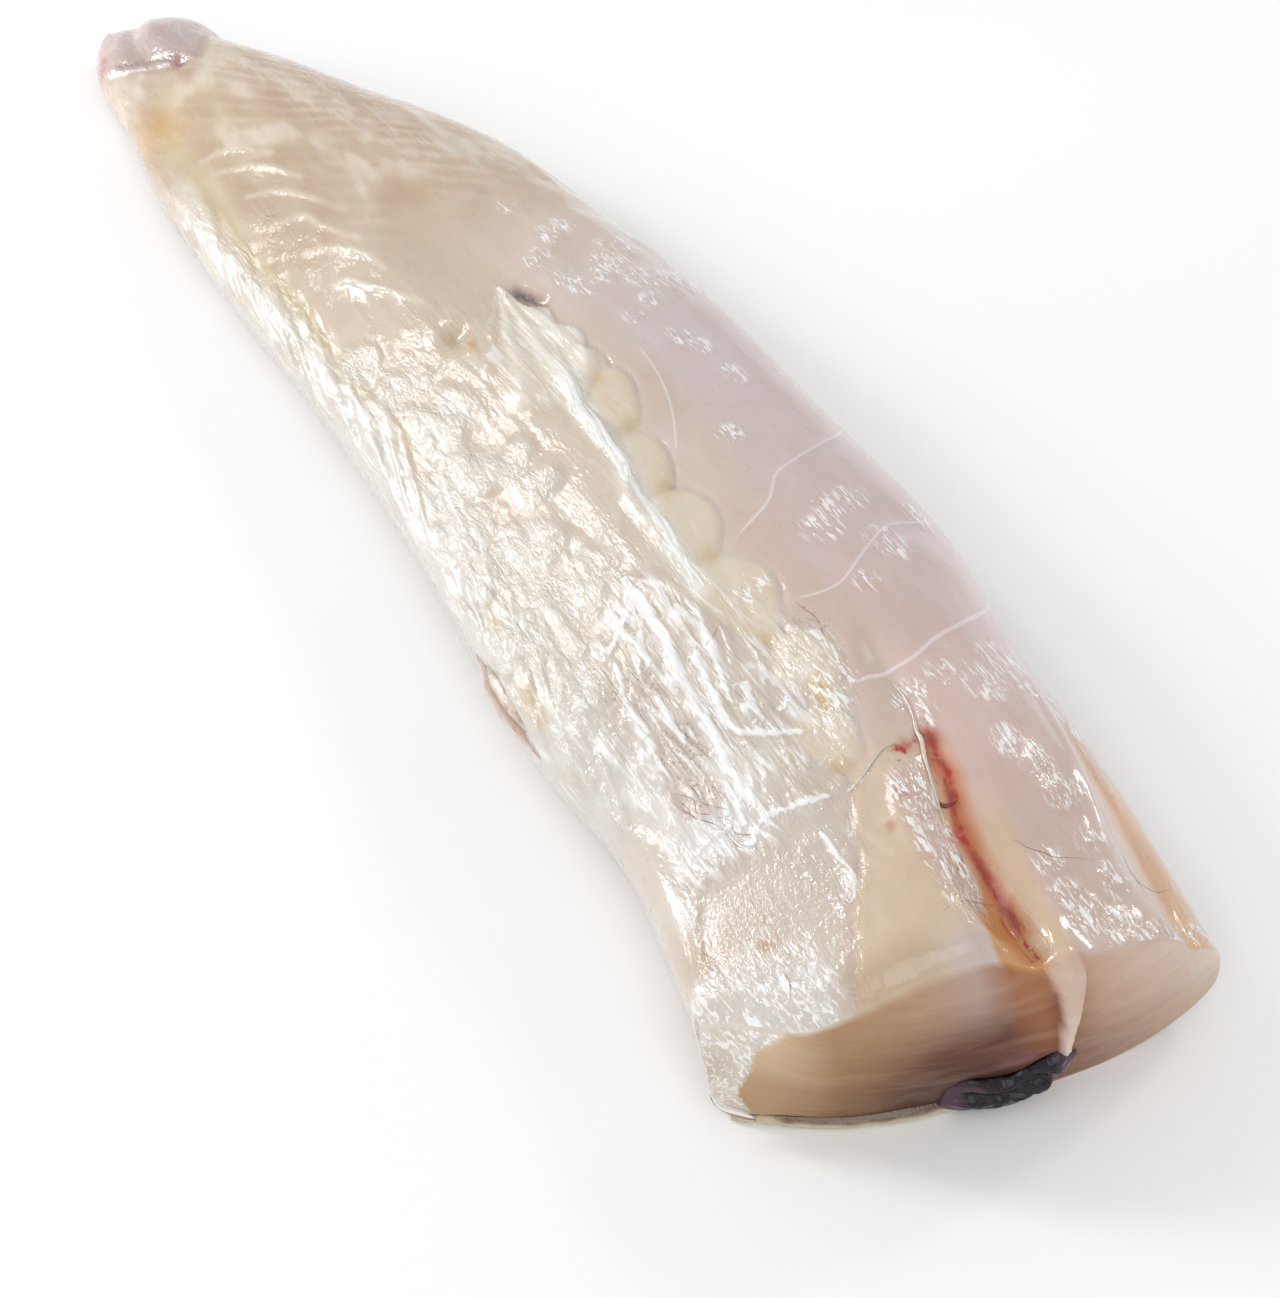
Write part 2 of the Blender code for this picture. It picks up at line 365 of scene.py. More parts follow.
VEINS = (
    ((0.928, 0.28), (0.940, 0.38), (0.947, 0.46), (0.953, 0.56)),
    ((0.948, 0.75), (0.960, 0.73), (0.966, 0.78), (0.967, 0.88), (0.965, 0.97)),
    ((0.740, 0.05), (0.751, 0.07), (0.763, 0.09), (0.778, 0.09)),
    ((0.806, -0.75), (0.824, -0.72), (0.838, -0.66)),
    ((0.802, -0.71), (0.820, -0.69), (0.838, -0.63)),
    ((0.818, -0.78), (0.832, -0.73), (0.850, -0.67)),
    ((0.896, 0.205), (0.897, 0.225), (0.893, 0.245)),
    ((0.905, 0.215), (0.912, 0.245), (0.917, 0.26)),
    ((0.862, 0.22), (0.874, 0.245), (0.885, 0.25)),
    ((0.845, 0.27), (0.856, 0.245), (0.860, 0.23)),
    ((0.838, -0.66), (0.850, -0.64), (0.860, -0.60), (0.864, -0.56)),
    ((0.846, -0.68), (0.858, -0.66), (0.868, -0.63)),
    ((0.958, -0.69), (0.968, -0.685), (0.978, -0.69)),
    ((0.735, -0.33), (0.733, -0.29), (0.729, -0.26)),
    ((0.968, -0.10), (0.960, 0.02), (0.953, 0.10)),
)
BLOOD_LINES = (
    ((0.857, 0.03), (0.863, 0.08), (0.861, 0.13), (0.856, 0.19), (0.861, 0.235)),
    ((0.861, 0.22), (0.872, 0.20), (0.885, 0.20), (0.900, 0.165), (0.905, 0.15)),
    ((0.896, 0.175), (0.912, 0.138), (0.925, 0.138), (0.937, 0.148), (0.945, 0.165), (0.953, 0.18),
     (0.960, 0.195), (0.968, 0.205)),
    ((0.960, 0.19), (0.975, 0.20), (0.995, 0.21)),
)
BLOOD_WIDTHS = (1.0, 1.4, 1.4, 0.8)
BLOOD_SPOTS = (((0.937, 0.06), 1.0), ((0.905, -0.12), 0.8), ((0.932, 0.09), 0.7), ((0.887, -0.02), 1.4),
               ((0.858, 0.19), 1.6), ((0.861, 0.10), 1.4), ((0.918, 0.10), 1.4))
# The amber wedge in the groove, and the cap of the tip: an edge's across, or along, by place.
WEDGE_LEFT = ((0.895, 0.15), (0.912, 0.125), (0.928, 0.13), (0.943, 0.12), (0.953, 0.11), (0.971, 0.05),
              (0.986, 0.04), (1.0, 0.04))
WEDGE_RIGHT = ((0.895, 0.18), (0.93, 0.18), (0.945, 0.20), (0.964, 0.215), (0.978, 0.215), (1.0, 0.215))
CAP_EDGE = ((-1.0, 0.040), (-0.68, 0.052), (-0.33, 0.068), (0.0, 0.078), (0.26, 0.066), (0.6, 0.048),
            (1.0, 0.03))
CAP_FOLD = ((0.043, -0.70), (0.051, -0.48), (0.058, -0.28), (0.070, -0.17))
# Share of the groove's depth that is filled, and the tongue of the right lobe over its mouth:
# (height, its middle's y, half width), in mm.
GROOVE_FILL = ((0.80, 0.0), (0.85, 0.6), (0.93, 0.72), (0.96, 0.55), (0.98, 0.62), (1.0, 0.84))
TONGUE = ((12.5, 3.0, 0.3), (14.0, 3.2, 0.6), (18.4, 3.9, 1.2), (21.5, 4.8, 1.7), (25.9, 5.6, 2.6),
          (29.0, 5.6, 3.3), (36.0, 5.6, 3.5))


# ---- relief of the upper side ------------------------------------------------------------
STREAK_TURN = math.radians(16)
FAN_APEX = (0.404, -0.02)
FAN_TURN = math.radians(-11)
FAN_SPREAD = math.radians(25)
FAN_REACH = 37.0
# Dents: (depth in mm, place, size in mm).
DENTS = ((1.5, (0.427, -0.37), 2.6), (0.7, (0.073, -0.20), 1.8))
# Raised rims: (places, height in mm, its unevenness, the size and seed of that, and how far off and
# how wide the ditch beside it is).
RIMS = ((DISC_RIM, 0.06, 0.12, 5.0, 62, (1.4, 0.8)), (SHIELD_RIM, 0.20, 0.15, 5.0, 63, None),
        (LEFT_MEMBRANE, 0.06, 0.2, 4.0, 64, (2.4, 1.4)))


def texture_masks(along, across):
    """How much of each kind of surface there is at a place."""
    beyond = across - curve(SEAM, along)
    left = ramp(0.03, -0.05, beyond)
    return {
        "left": left,
        "cream": ramp(0.845, 0.865, along) * ramp(-0.01, 0.03, beyond) * ramp(0.26, 0.18, across),
        "margin": ramp(-0.74, -0.90, across) * window(along, 0.17, 0.80, 0.04),
        "membrane": (left * ramp(0.0, 0.02, along - 0.65 - 0.14 * np.abs(across + 0.43))
                     * ramp(0.885, 0.865, along) * ramp(-0.93, -0.84, across)),
        "tail": ramp(0.36, 0.26, along),
    }


def near(points, place, size):
    return hump(np.linalg.norm(points - skin(*place), axis=1), 0.0, size)


def near_any(points, groups):
    return np.max([near(points, place, size) for size, places in groups for place in places], axis=0)


def reach_of_line(points, places, reach):
    return reach_of(points, strand(places)[2], reach)


def on_line(points, places, width, reach=6.0):
    """1 on a line of the upper side, fading out beside it."""
    return hump(reach_of_line(points, places, reach)[0], 0.0, width)


def tapered(share, end=0.0, power=0.5):
    """0 at both ends of a line, 1 in its middle."""
    return np.sin(math.pi * np.clip(share, end, 1 - end)) ** power


def mass_share(points):
    """1 on the flaky masses, fading out round them."""
    reach = near_any(points, MASSES)
    uneven = reach + 0.45 * fractal(points, (7.0, 3.4, 4.5), 22)
    return ramp(0.22, 0.72, uneven) * ramp(0.03, 0.2, reach)


def corner_share(points, along, across):
    """1 on the crumpled membrane over the upper side's left corner at the cut."""
    edge = across + 0.06 * noise(points, (5.0, 5.0, 5.0), 26)
    return ramp(0.93, 0.965, along) * ramp(-0.46, -0.60, edge)


def speckled_share(points):
    reach = near_any(points, SPECKLED)
    return ramp(0.2, 0.7, reach + 0.35 * fractal(points, (6.0, 3.0, 4.0), 24)) * ramp(0.03, 0.2, reach)


def cap_share(along, across):
    """1 on the thin cap of the tip."""
    return ramp(0.005, -0.005, along - curve(CAP_EDGE, across))


def streaks(points, long_, wide, seed):
    """Crests that run slantwise down the left margin."""
    down = points @ (0.0, -0.6, -0.8)
    c, s = math.cos(STREAK_TURN), math.sin(STREAK_TURN)
    place = np.stack([points[:, 0] * c + down * s, down * c - points[:, 0] * s, 0 * down], axis=1)
    return ridged(place, (long_, wide, 9.0), seed)


def flakes(points, along, across):
    """Bands of the tail's flakes, from -1 to 1."""
    return np.sin((along - 0.10 * across) * 330 + 2.2 * noise(points, (14.0, 8.0, 10.0), 74))


def hollow_relief(points):
    """Domes left in the hollows, with a crease round each, and how much of a dome is there."""
    rise = np.zeros(len(points))
    dome_share = np.zeros(len(points))
    for along, across, length, width, turn, height in HOLLOWS:
        c, s = math.cos(math.radians(turn)), math.sin(math.radians(turn))
        dx, dy = (points - skin(along, across))[:, :2].T
        u = (dx * c + dy * s) / (length / 2)
        w = (-dx * s + dy * c) / (width / 2) * (1 + 0.18 * u)
        out = (np.abs(u)**1.7 + np.abs(w)**1.9) ** 0.55 + 0.16 * noise(points, (9.0, 6.0, 6.0), 31)
        out = np.maximum(out, 0)
        dome = np.sqrt(np.clip(1 - out**2.2, 0, 1))
        crease = hump(out, 1.06, 0.12) * (0.6 + 0.5 * noise(points, 7.0, 32)) * ramp(-0.6, 0.4, w)
        rise = np.where(dome > 0, np.maximum(rise, height * dome), rise) - 0.4 * crease
        dome_share = np.maximum(dome_share, ramp(1.05, 0.85, out))
    return rise, dome_share


def fan_parts(points):
    """Share of the whitish fan below the slit, whose edge is scalloped, the turn round its apex
    and the waves of its ribs."""
    off = (points - skin(*FAN_APEX))[:, :2]
    away = np.linalg.norm(off, axis=1)
    turn = (np.arctan2(off[:, 1], off[:, 0]) - FAN_TURN) / FAN_SPREAD
    scallops = 1 + 0.16 * np.sin(0.62 * away) + 0.14 * noise(points, 6.0, 75)
    reach = FAN_REACH * (1 - 0.33 * np.abs(turn) ** 2.5)
    ribs = np.sin(11 * turn + 2 * noise(points, (14.0, 4.0, 8.0), 76))
    return ramp(1.06, 0.92, np.maximum(np.abs(turn) / scallops, away / reach)), turn, ribs


def groove_fill(along, across):
    """How far the groove is filled straight up. The right lobe's inner corner closes its mouth."""
    line = curve(GROOVE_LINE, along)
    filled = groove_depth(along, across) * curve(GROOVE_FILL, along)
    shoulder = 1.8 * hump(across, line - 0.10, 0.07) * window(along, 0.89, 0.98, 0.02)
    corner = 2.0 * hump(across, 0.29, 0.08) * ramp(0.955, 0.99, along)
    return filled - shoulder + corner


def broad_relief(points, warp, along, mask):
    """Relief of the flaky masses, the left margin and the membrane."""
    rise = 0.5 * fractal(points, (26.0, 14.0, 20.0), 11)
    rise += mass_share(points) * 1.2 * np.abs(fractal(warp, (11.0, 5.2, 7.0), 21))
    rise += mask["left"] * window(along, 0.36, 0.66, 0.05) * 0.12 * ridged(warp, (22.0, 3.0, 6.0), 23)
    rise += mask["margin"] * (0.42 * streaks(points, 15.0, 2.6, 41) + 0.2 * streaks(points, 7.0, 1.4, 42))
    sheet = np.maximum(ridged(warp, (18.0, 3.0, 6.0), 51), 0)
    shreds = np.maximum(ridged(warp, (8.0, 1.6, 3.0), 52), 0)
    return rise + mask["membrane"] * (0.35 * sheet**2 + 0.30 * shreds**2 - 0.15)


def fold_relief(points, warp):
    """The tail's chevrons, the crease along the margin and the membrane's folds."""
    rise = np.zeros(len(points))
    broken = 0.7 + 0.5 * noise(points, 3.0, 43)
    for places in CHEVRONS:
        away, share = reach_of_line(points, places, 4.0)
        rise += 0.30 * broken * hump(away, 0.0, 0.7) * tapered(share, 0.06, 1)
    away, share = reach_of_line(points, MARGIN_CREASE, 9.0)
    rise -= 0.35 * hump(away, 0.0, 2.6) * tapered(share)
    bulge = 1 + 0.4 * noise(points, 4.0, 61)
    uneven = 1.1 + 0.6 * noise(points, (5.0, 3.0, 3.0), 60)
    for places, wide in zip(FOLDS, FOLD_WIDTHS):
        away, share = reach_of_line(warp, places, 6.0)
        rise += 0.22 * wide * uneven * hump(away, 0.0, 0.5 * wide * bulge) * tapered(share, 0.03, 0.6)
    return rise


def edge_relief(points, warp):
    """The tendon, the lobe's edge, the raised rims, the crest and the septa."""
    away, share = reach_of_line(warp, TENDON, 6.0)
    cord = hump(away, 0.0, 1.7) * tapered(share, 0.04, 0.6)
    rise = cord * (0.9 + 0.35 * ridged(warp, (14.0, 1.6, 3.0), 65))
    away, share = reach_of_line(points, LOBE_EDGE, 6.0)
    broken = ramp(-0.5, 0.3, noise(points, 5.0, 66))
    rise -= 0.55 * hump(away, 0.0, 0.8) * broken * tapered(share)
    for places, height, uneven, grain, seed, ditch in RIMS:
        away = reach_of_line(points, places, 6.0)[0]
        rise += (height + uneven * noise(points, grain, seed)) * hump(away, 0.0, 0.8)
        if ditch:
            rise -= 0.10 * hump(away, *ditch)
    away, share = reach_of_line(points, CREST, 7.0)
    rise += 1.0 * hump(away, 0.0, 1.6) * ramp(0.0, 0.3, share)
    for places in SEPTA:
        away = reach_of_line(points, places, 5.0)[0]
        rise += 0.04 * hump(away, 0.0, 0.7) - 0.08 * hump(away, 2.2, 1.4)
    return rise


def right_relief(points, warp, along, across, mask):
    """Relief of the right lobe, the tail's flakes and the fan."""
    wrinkles = ridged(warp, (7.0, 3.6, 5.0), 71) * mask["cream"] * window(along, 0.865, 0.95, 0.02)
    upper_right = window(along, 0.30, 0.44, 0.05) * ramp(-0.1, 0.2, across)
    rise = upper_right * (0.35 * ridged(warp, (20.0, 6.0, 8.0), 72) + 0.2 * fractal(warp, 6.0, 73))
    rise += 0.35 * wrinkles + 0.015 * mask["tail"] * flakes(points, along, across)
    share, turn, ribs = fan_parts(points)
    return rise + share * (0.8 * ramp(-0.8, 0.6, turn) + 0.22 * ribs)


def relief(points, along, across):
    """How far the skin stands off the plain form at each place, in mm."""
    mask = texture_masks(along, across)
    warp = points + 2.5 * np.stack([noise(points, 9.0, 3), noise(points, 9.0, 4),
                                    np.zeros(len(points))], axis=1)
    domes, dome_share = hollow_relief(points)
    rise = broad_relief(points, warp, along, mask) + fold_relief(points, warp)
    rise = rise * (1 - 0.8 * dome_share) + domes + edge_relief(points, warp)
    rise += right_relief(points, warp, along, across, mask)
    rise -= 0.5 * on_line(points, CAP_FOLD, 0.8, 4.0) + 1.2 * on_line(points, SLIT, 1.3)
    for depth, place, size in DENTS:
        rise -= depth * near(points, place, size)
    cap = cap_share(along, across)
    return rise + 0.3 * cap - 0.5 * np.sqrt(cap * (1 - cap))


# ---- colours ------------------------------------------------------------------------------
ALBEDO = 0.9                 # colours are as lit in the studio, which is this much too bright


def linear(colour):
    """Colour as a screen shows it in that light, 0 to 255, as the share of light it gives back."""
    share = np.asarray(colour, float) / 255
    return ALBEDO * np.where(share <= 0.04045, share / 12.92, ((share + 0.055) / 1.055) ** 2.4)


def gradient(stops, place):
    """Colour along a row of (place, colour) stops."""
    at = [stop[0] for stop in stops]
    shades = np.array([linear(stop[1]) for stop in stops])
    return np.stack([np.interp(place, at, shades[:, n]) for n in range(3)], axis=-1)


def paint(tint, *layers):
    """Lays colours over the tint in turn, each with a weight for each point."""
    for colour, weight in layers:
        tint = tint + (linear(colour) - tint) * np.clip(weight, 0, 1)[:, None]
    return tint


LEFT_TONES = ((0.0, (196, 178, 170)), (0.07, (206, 189, 170)), (0.11, (207, 188, 160)),
              (0.20, (202, 182, 158)), (0.35, (206, 190, 170)), (0.50, (215, 202, 185)),
              (0.75, (215, 204, 193)), (0.90, (212, 201, 191)), (1.0, (210, 197, 181)))
RIGHT_TONES = ((0.0, (190, 170, 162)), (0.08, (208, 187, 166)), (0.30, (206, 182, 156)),
               (0.37, (222, 206, 194)), (0.50, (218, 204, 204)), (0.70, (217, 196, 194)),
               (0.85, (222, 196, 190)), (1.0, (216, 194, 184)))
UNDER_TONES = ((0.0, (206, 188, 180)), (0.5, (214, 200, 190)), (1.0, (205, 186, 172)))
NEAR_SEAM_TONE = (214, 196, 178)
OUTER_TONE = (216, 198, 199)
# The left margin's whitish membrane, made whiter still as painted sheen.
MARGIN_WHITE_AND_SHEEN_TONE = (221, 218, 212)
MOTTLE_TONES = ((190, 160, 136), (236, 226, 210))
UNDER_MOTTLE_TONES = ((190, 166, 150), (236, 228, 220))
BAND_TONE = (234, 216, 194)
CHEVRON_TONE = (236, 226, 208)
CREAM_TONE = (220, 200, 176)
MEMBRANE_TONE = (232, 228, 226)
BROWN_TONE = (208, 194, 184)
MASS_TONE = (214, 208, 198)
DOME_TONE = (230, 217, 192)
AMBER_TONE = (206, 176, 124)
KNOT_TONE = (246, 240, 232)
CREASE_TONE = (210, 193, 160)
FAN_TONE = (240, 236, 226)
SINEW_TONE = (246, 240, 228)
CAP_TONE = (192, 172, 176)
KNOB_TONE = (222, 206, 206)
CAP_FOLD_TONE = (160, 134, 134)
SPOT_TONE = (208, 166, 98)
RED_SPOT_TONE = (200, 96, 60)
SLIT_TONE = (176, 150, 132)
BLACK_TONE = (48, 40, 38)
DISC_SPOT_TONE = (190, 150, 112)
FLAP_TONE = (226, 184, 146)
# Pale line along the crest: a painted highlight.
CREST_HIGHLIGHT_TONE = (236, 226, 224)
WALL_TONE = (228, 200, 164)
PINK_TONE = (212, 184, 178)
CORNER_TONE = (226, 220, 214)
TAN_TONE = (190, 162, 130)
STRIP_TONE = (194, 170, 144)
# Lilac band where the upper side rounds into the cut: a painted sheen.
LILAC_SHEEN_TONE = (212, 200, 204)
AMBER_WEDGE_TONE = (214, 146, 70)
STAIN_TONE = (222, 160, 108)
RUST_TONE = (190, 86, 36)
DRIED_TONE = (122, 42, 24)
BLOOD_TONE = (176, 52, 36)
# Spots of colour: (tone, strength, place, size in mm).
SPOTS = (
    (SPOT_TONE, 0.5, (0.105, -0.72), 3.6), (SPOT_TONE, 0.5, (0.128, -0.68), 3.6),
    (SPOT_TONE, 0.5, (0.112, -0.82), 5.0), ((164, 104, 98), 0.9, (0.073, -0.20), 1.8),
    ((190, 160, 140), 0.7, (0.088, -0.24), 2.4), ((218, 176, 172), 0.7, (0.02, -0.97), 3.0),
    (RED_SPOT_TONE, 0.7, (0.035, -0.94), 0.8), (RED_SPOT_TONE, 0.7, (0.029, -0.87), 0.8),
    ((186, 166, 130), 0.8, (0.427, -0.37), 2.2), ((208, 150, 104), 0.9, (0.441, -0.34), 1.0),
)


def mottled(tones, weights, uneven, end):
    """Layers of two tones, in the highs and in the lows of a noise."""
    return [(tone, weight * ramp(0.0, end, sign * uneven))
            for tone, weight, sign in zip(tones, weights, (1, -1))]


def broad_layers(points, along, across):
    """Tones over broad parts of the upper side."""
    mask = texture_masks(along, across)
    beyond = across - curve(SEAM, along)
    mottle = mask["tail"] * fractal(points, (9.0, 4.5, 6.0), 82)
    banded = ramp(-0.3, 0.4, noise(points, (26.0, 9.0, 12.0), 84))
    grey = mask["membrane"] * window(along, 0.765, 0.865, 0.02) * ramp(-0.40, -0.55, across)
    return [
        (NEAR_SEAM_TONE, 0.6 * window(beyond, 0.02, 0.22, 0.08) * ramp(0.4, 0.5, along)),
        (OUTER_TONE, 0.6 * ramp(0.62, 0.95, across) * window(along, 0.42, 0.86, 0.06)),
        # whitish margin: partly its own tone, partly painted sheen
        (MARGIN_WHITE_AND_SHEEN_TONE, 0.9 * mask["margin"]),
        *mottled(MOTTLE_TONES, (0.55, 0.65), mottle, 0.5),
        (BAND_TONE, 0.6 * mask["tail"] * banded * flakes(points, along, across)),
        *[(CHEVRON_TONE, 0.6 * on_line(points, places, 0.7, 4.0)) for places in CHEVRONS],
        (CREAM_TONE, mask["cream"]),
        (MEMBRANE_TONE, 0.8 * grey),
        (BROWN_TONE, 0.9 * speckled_share(points) * mask["left"]),
        (MASS_TONE, 0.65 * mass_share(points)),
    ]


def seam_layers(points):
    """Tones of the domes and their amber ends, the creased margin, the fan and the tendon."""
    ends = [(along + 0.45 * length / AXIS, across - 0.02) for along, across, length, *_ in HOLLOWS]
    bead = skin(np.linspace(0.794, 0.814, 9), np.linspace(-0.07, -0.09, 9))
    share, turn, ribs = fan_parts(points)
    return [
        (DOME_TONE, 0.6 * hollow_relief(points)[1]),
        *[(AMBER_TONE, 0.6 * near(points, end, 2.0)) for end in ends],
        (AMBER_TONE, hump(reach_of(points, bead, 4.0)[0], 0.0, 1.2)),
        (KNOT_TONE, near(points, (0.787, -0.08), 1.6)),
        (CREASE_TONE, 0.8 * on_line(points, MARGIN_CREASE, 2.6, 9.0) * (1 - mass_share(points))),
        (FAN_TONE, 0.9 * share * (0.75 + 0.25 * ribs) * ramp(-1.3, 0.0, turn)),
        (SINEW_TONE, on_line(points, TENDON, 2.3)),
    ]


def spot_layers(points, along, across):
    """Tones of the tip's cap, of single spots and of the slit, whose tone also veils the rest."""
    away, share = reach_of_line(points, SLIT, 4.0)
    return [
        (CAP_TONE, 0.8 * cap_share(along, across) * (0.75 + 0.5 * noise(points, 3.0, 83))),
        (KNOB_TONE, 0.7 * near(points, (0.025, -0.75), 3.5)),
        (CAP_FOLD_TONE, 0.6 * on_line(points, CAP_FOLD, 0.9, 4.0)),
        *[(tone, strength * near(points, place, size)) for tone, strength, place, size in SPOTS],
        (SLIT_TONE, 0.7 * hump(away, 0.0, 2.0)),
        (BLACK_TONE, hump(away, 0.0, 0.8) * ramp(1.1, 0.4, share)),
        (DISC_SPOT_TONE, near(points, (0.935, -0.70), 1.6)),
    ]


def cut_end_layers(points, along, across):
    """Tones by the cut: the flap, a painted highlight along the crest, and the groove's walls with what
    lies round them, among them a painted lilac sheen where the upper side rounds into the cut.
    """
    flap = ramp(0.76, 0.84, across) * ramp(0.83, 0.92, along + 0.03 * noise(points, (12.0, 6.0, 6.0), 88))
    beside = across - curve(GROOVE_LINE, along)
    inner = window(beside, -0.22, -0.05, 0.05) * window(along, 0.87, 0.96, 0.02)
    return [
        (FLAP_TONE, flap * ramp(1.02, 0.92, across)),
        # painted highlight along the crest
        (CREST_HIGHLIGHT_TONE, 0.6 * on_line(points, CREST, 1.2, 7.0)),
        (WALL_TONE, 0.7 * ramp(0.88, 0.94, along) * window(across, 0.2, 0.34, 0.05)),
        (PINK_TONE, 0.75 * inner),
        (CORNER_TONE, 0.8 * corner_share(points, along, across)),
        (TAN_TONE, 0.55 * window(across, -0.5, -0.15, 0.1) * ramp(0.96, 0.985, along)),
        (STRIP_TONE, 0.7 * near(points, (0.928, -0.92), 6.0)),
        # painted sheen on the rounded rim
        (LILAC_SHEEN_TONE, 0.7 * hump(across, -0.04, 0.10) * ramp(0.97, 0.99, along)),
    ]


def blood_layers(points, along, across):
    """The groove's amber wedge, and the stains round its blood."""
    wedge = window(across, curve(WEDGE_LEFT, along), curve(WEDGE_RIGHT, along), 0.015)
    away = reach_of_line(points, BLOOD_LINES[1] + BLOOD_LINES[2][1:], 7.0)[0]
    uneven = 2.4 + 1.2 * noise(points, (5.0, 3.0, 4.0), 85)
    return [
        (AMBER_WEDGE_TONE, 0.9 * ramp(0.90, 0.92, along) * wedge),
        (STAIN_TONE, 0.6 * ramp(5.0, 2.0, away) * ramp(0.86, 0.88, along)),
        (RUST_TONE, 0.9 * hump(away, 0.0, uneven)),
        (DRIED_TONE, 0.8 * hump(away, 0.0, 1.1) * ramp(-0.3, 0.3, noise(points, 4.0, 86))),
        *[(BLOOD_TONE, 0.75 * near(points, place, size)) for place, size in BLOOD_SPOTS],
    ]


def skin_tints(points, along, across):
    """Colour of each point of the upper side, in linear light."""
    left = ramp(0.10, -0.10, across - curve(SEAM, along))[:, None]
    tint = gradient(LEFT_TONES, along) * left + gradient(RIGHT_TONES, along) * (1 - left)
    return paint(tint, *broad_layers(points, along, across), *seam_layers(points),
                 *spot_layers(points, along, across), *cut_end_layers(points, along, across),
                 *blood_layers(points, along, across))


# The cut's tone along its upper rim and deep in it, from left to right.
CUT_RIM = ((-1.0, (230, 206, 176)), (-0.8, (222, 196, 164)), (-0.6, (184, 148, 110)),
           (-0.3, (192, 158, 128)), (-0.08, (200, 174, 162)), (0.06, (172, 118, 84)),
           (0.2, (172, 116, 74)), (0.38, (206, 174, 152)), (0.6, (222, 198, 180)), (1.0, (230, 216, 206)))
CUT_CORE = ((-1.0, (208, 172, 132)), (-0.8, (186, 152, 114)), (-0.6, (142, 104, 70)),
            (-0.25, (102, 60, 38)), (0.0, (96, 48, 30)), (0.12, (116, 60, 38)),
            (0.38, (150, 112, 88)), (0.75, (194, 164, 138)), (1.0, (210, 186, 166)))
CUT_DEEP_TONE = (78, 48, 38)
# How far down the core starts, from left to right, and where the membrane over the corner ends.
CORE_START = ((-0.8, -0.35, 0.0, 0.2), (0.25, 0.45, 0.58, 0.15))
CUT_MEMBRANE_EDGE = ((0.0, -0.87), (0.2, -0.89), (0.4, -0.885), (0.55, -0.865), (0.8, -0.815),
                     (1.0, -0.73))
BESIDE_TONGUE_TONE = (138, 78, 58)
PURPLE_TONE = (140, 88, 96)
# The tongue's tone by height in mm.
TONGUE_TONES = ((12.0, (242, 236, 232)), (17.0, (228, 208, 198)), (26.0, (218, 194, 178)))
COVER_TONE = (226, 216, 204)


def tongue_share(points):
    """0 off the tongue, up to 1 along its middle."""
    height, middle, half = np.array(TONGUE).T
    off = np.abs(points[:, 1] - np.interp(points[:, 2], height, middle))
    off = off / np.interp(points[:, 2], height, half)
    return np.clip(1 - off**2.6, 0, 1) ** 0.6 * ramp(12.2, 13.5, points[:, 2])


def ragged_edge(points, share):
    """Where the membrane that comes down over the cut's left corner ends."""
    return curve(CUT_MEMBRANE_EDGE, share) + 0.025 * fractal(points, (5.0, 5.0, 3.0), 97)


def cut_tints(points, across, share):
    """Colour of each point of the cut: its layers, the tongue, and the membrane at its corner."""
    y, z = points[:, 1], points[:, 2]
    wave = share + 0.06 * noise(points, (9.0, 14.0, 6.0), 91)
    deep = ramp(1.0, np.interp(across, *CORE_START), wave)[:, None]
    tint = gradient(CUT_RIM, across) * (1 - deep) + gradient(CUT_CORE, across) * deep
    low = ramp(0.55, 0.25, wave) * window(across, -0.42, 0.06, 0.14)
    tint = paint(tint, (CUT_DEEP_TONE, 0.75 * low),
                 (BESIDE_TONGUE_TONE, 0.7 * hump(y, 3.0, 2.0) * window(z, 14.0, 26.0, 2.0)),
                 (PURPLE_TONE, 0.6 * hump(z, 13.0, 1.4) * window(y, -8.0, 1.0, 2.0)))
    tint += (gradient(TONGUE_TONES, z) - tint) * ramp(0.05, 0.8, tongue_share(points))[:, None]
    return paint(tint, (COVER_TONE, ramp(0.01, -0.01, across - ragged_edge(points, share))))


# ---- lines in the surface -----------------------------------------------------------------
LINE_REACH = 3.0             # how far off a line its distance is known, in mm
# A wet place in a hollow, crumpled, with white glints painted in as highlights.
GLINTING = (0.775, 0.0)      # a wet place in a hollow


def unit(vectors):
    return vectors / np.maximum(np.linalg.norm(vectors, axis=-1, keepdims=True), 1e-9)


def outward(along, across):
    """Unit normals of the plain form's upper side."""
    along = np.asarray(along, float)
    angle = np.arccos(np.clip(across, -0.9999, 0.9999))
    ahead = form(along + 1e-3, angle) - form(along - 1e-3, angle)
    round_ = form(along, angle + 1e-3) - form(along, angle - 1e-3)
    return unit(np.cross(round_, ahead))


def line_fields(points, lines, widths):
    """Signed distance from the nearest of some lines, and its half width there, which is
    nothing past a line's ends and further off."""
    side_off = np.full(len(points), LINE_REACH)
    half = np.zeros(len(points))
    for places, width in zip(lines, widths):
        along, across, line = strand(places)
        away, share = reach_of(points, line, LINE_REACH)
        index = np.rint(share * (len(line) - 1)).astype(int)
        side = unit(np.cross(outward(along, across), np.gradient(line, axis=0)))[index]
        off = ((points - line[index]) * side).sum(axis=1)
        here = width / 2 * ramp(0, 0.1, share) * ramp(1, 0.9, share)
        here *= ramp(LINE_REACH, LINE_REACH / 2, away)
        side_off = np.where(here > half, off, side_off)
        half = np.maximum(half, here)
    return np.stack([side_off, half, np.zeros(len(points))], axis=1)
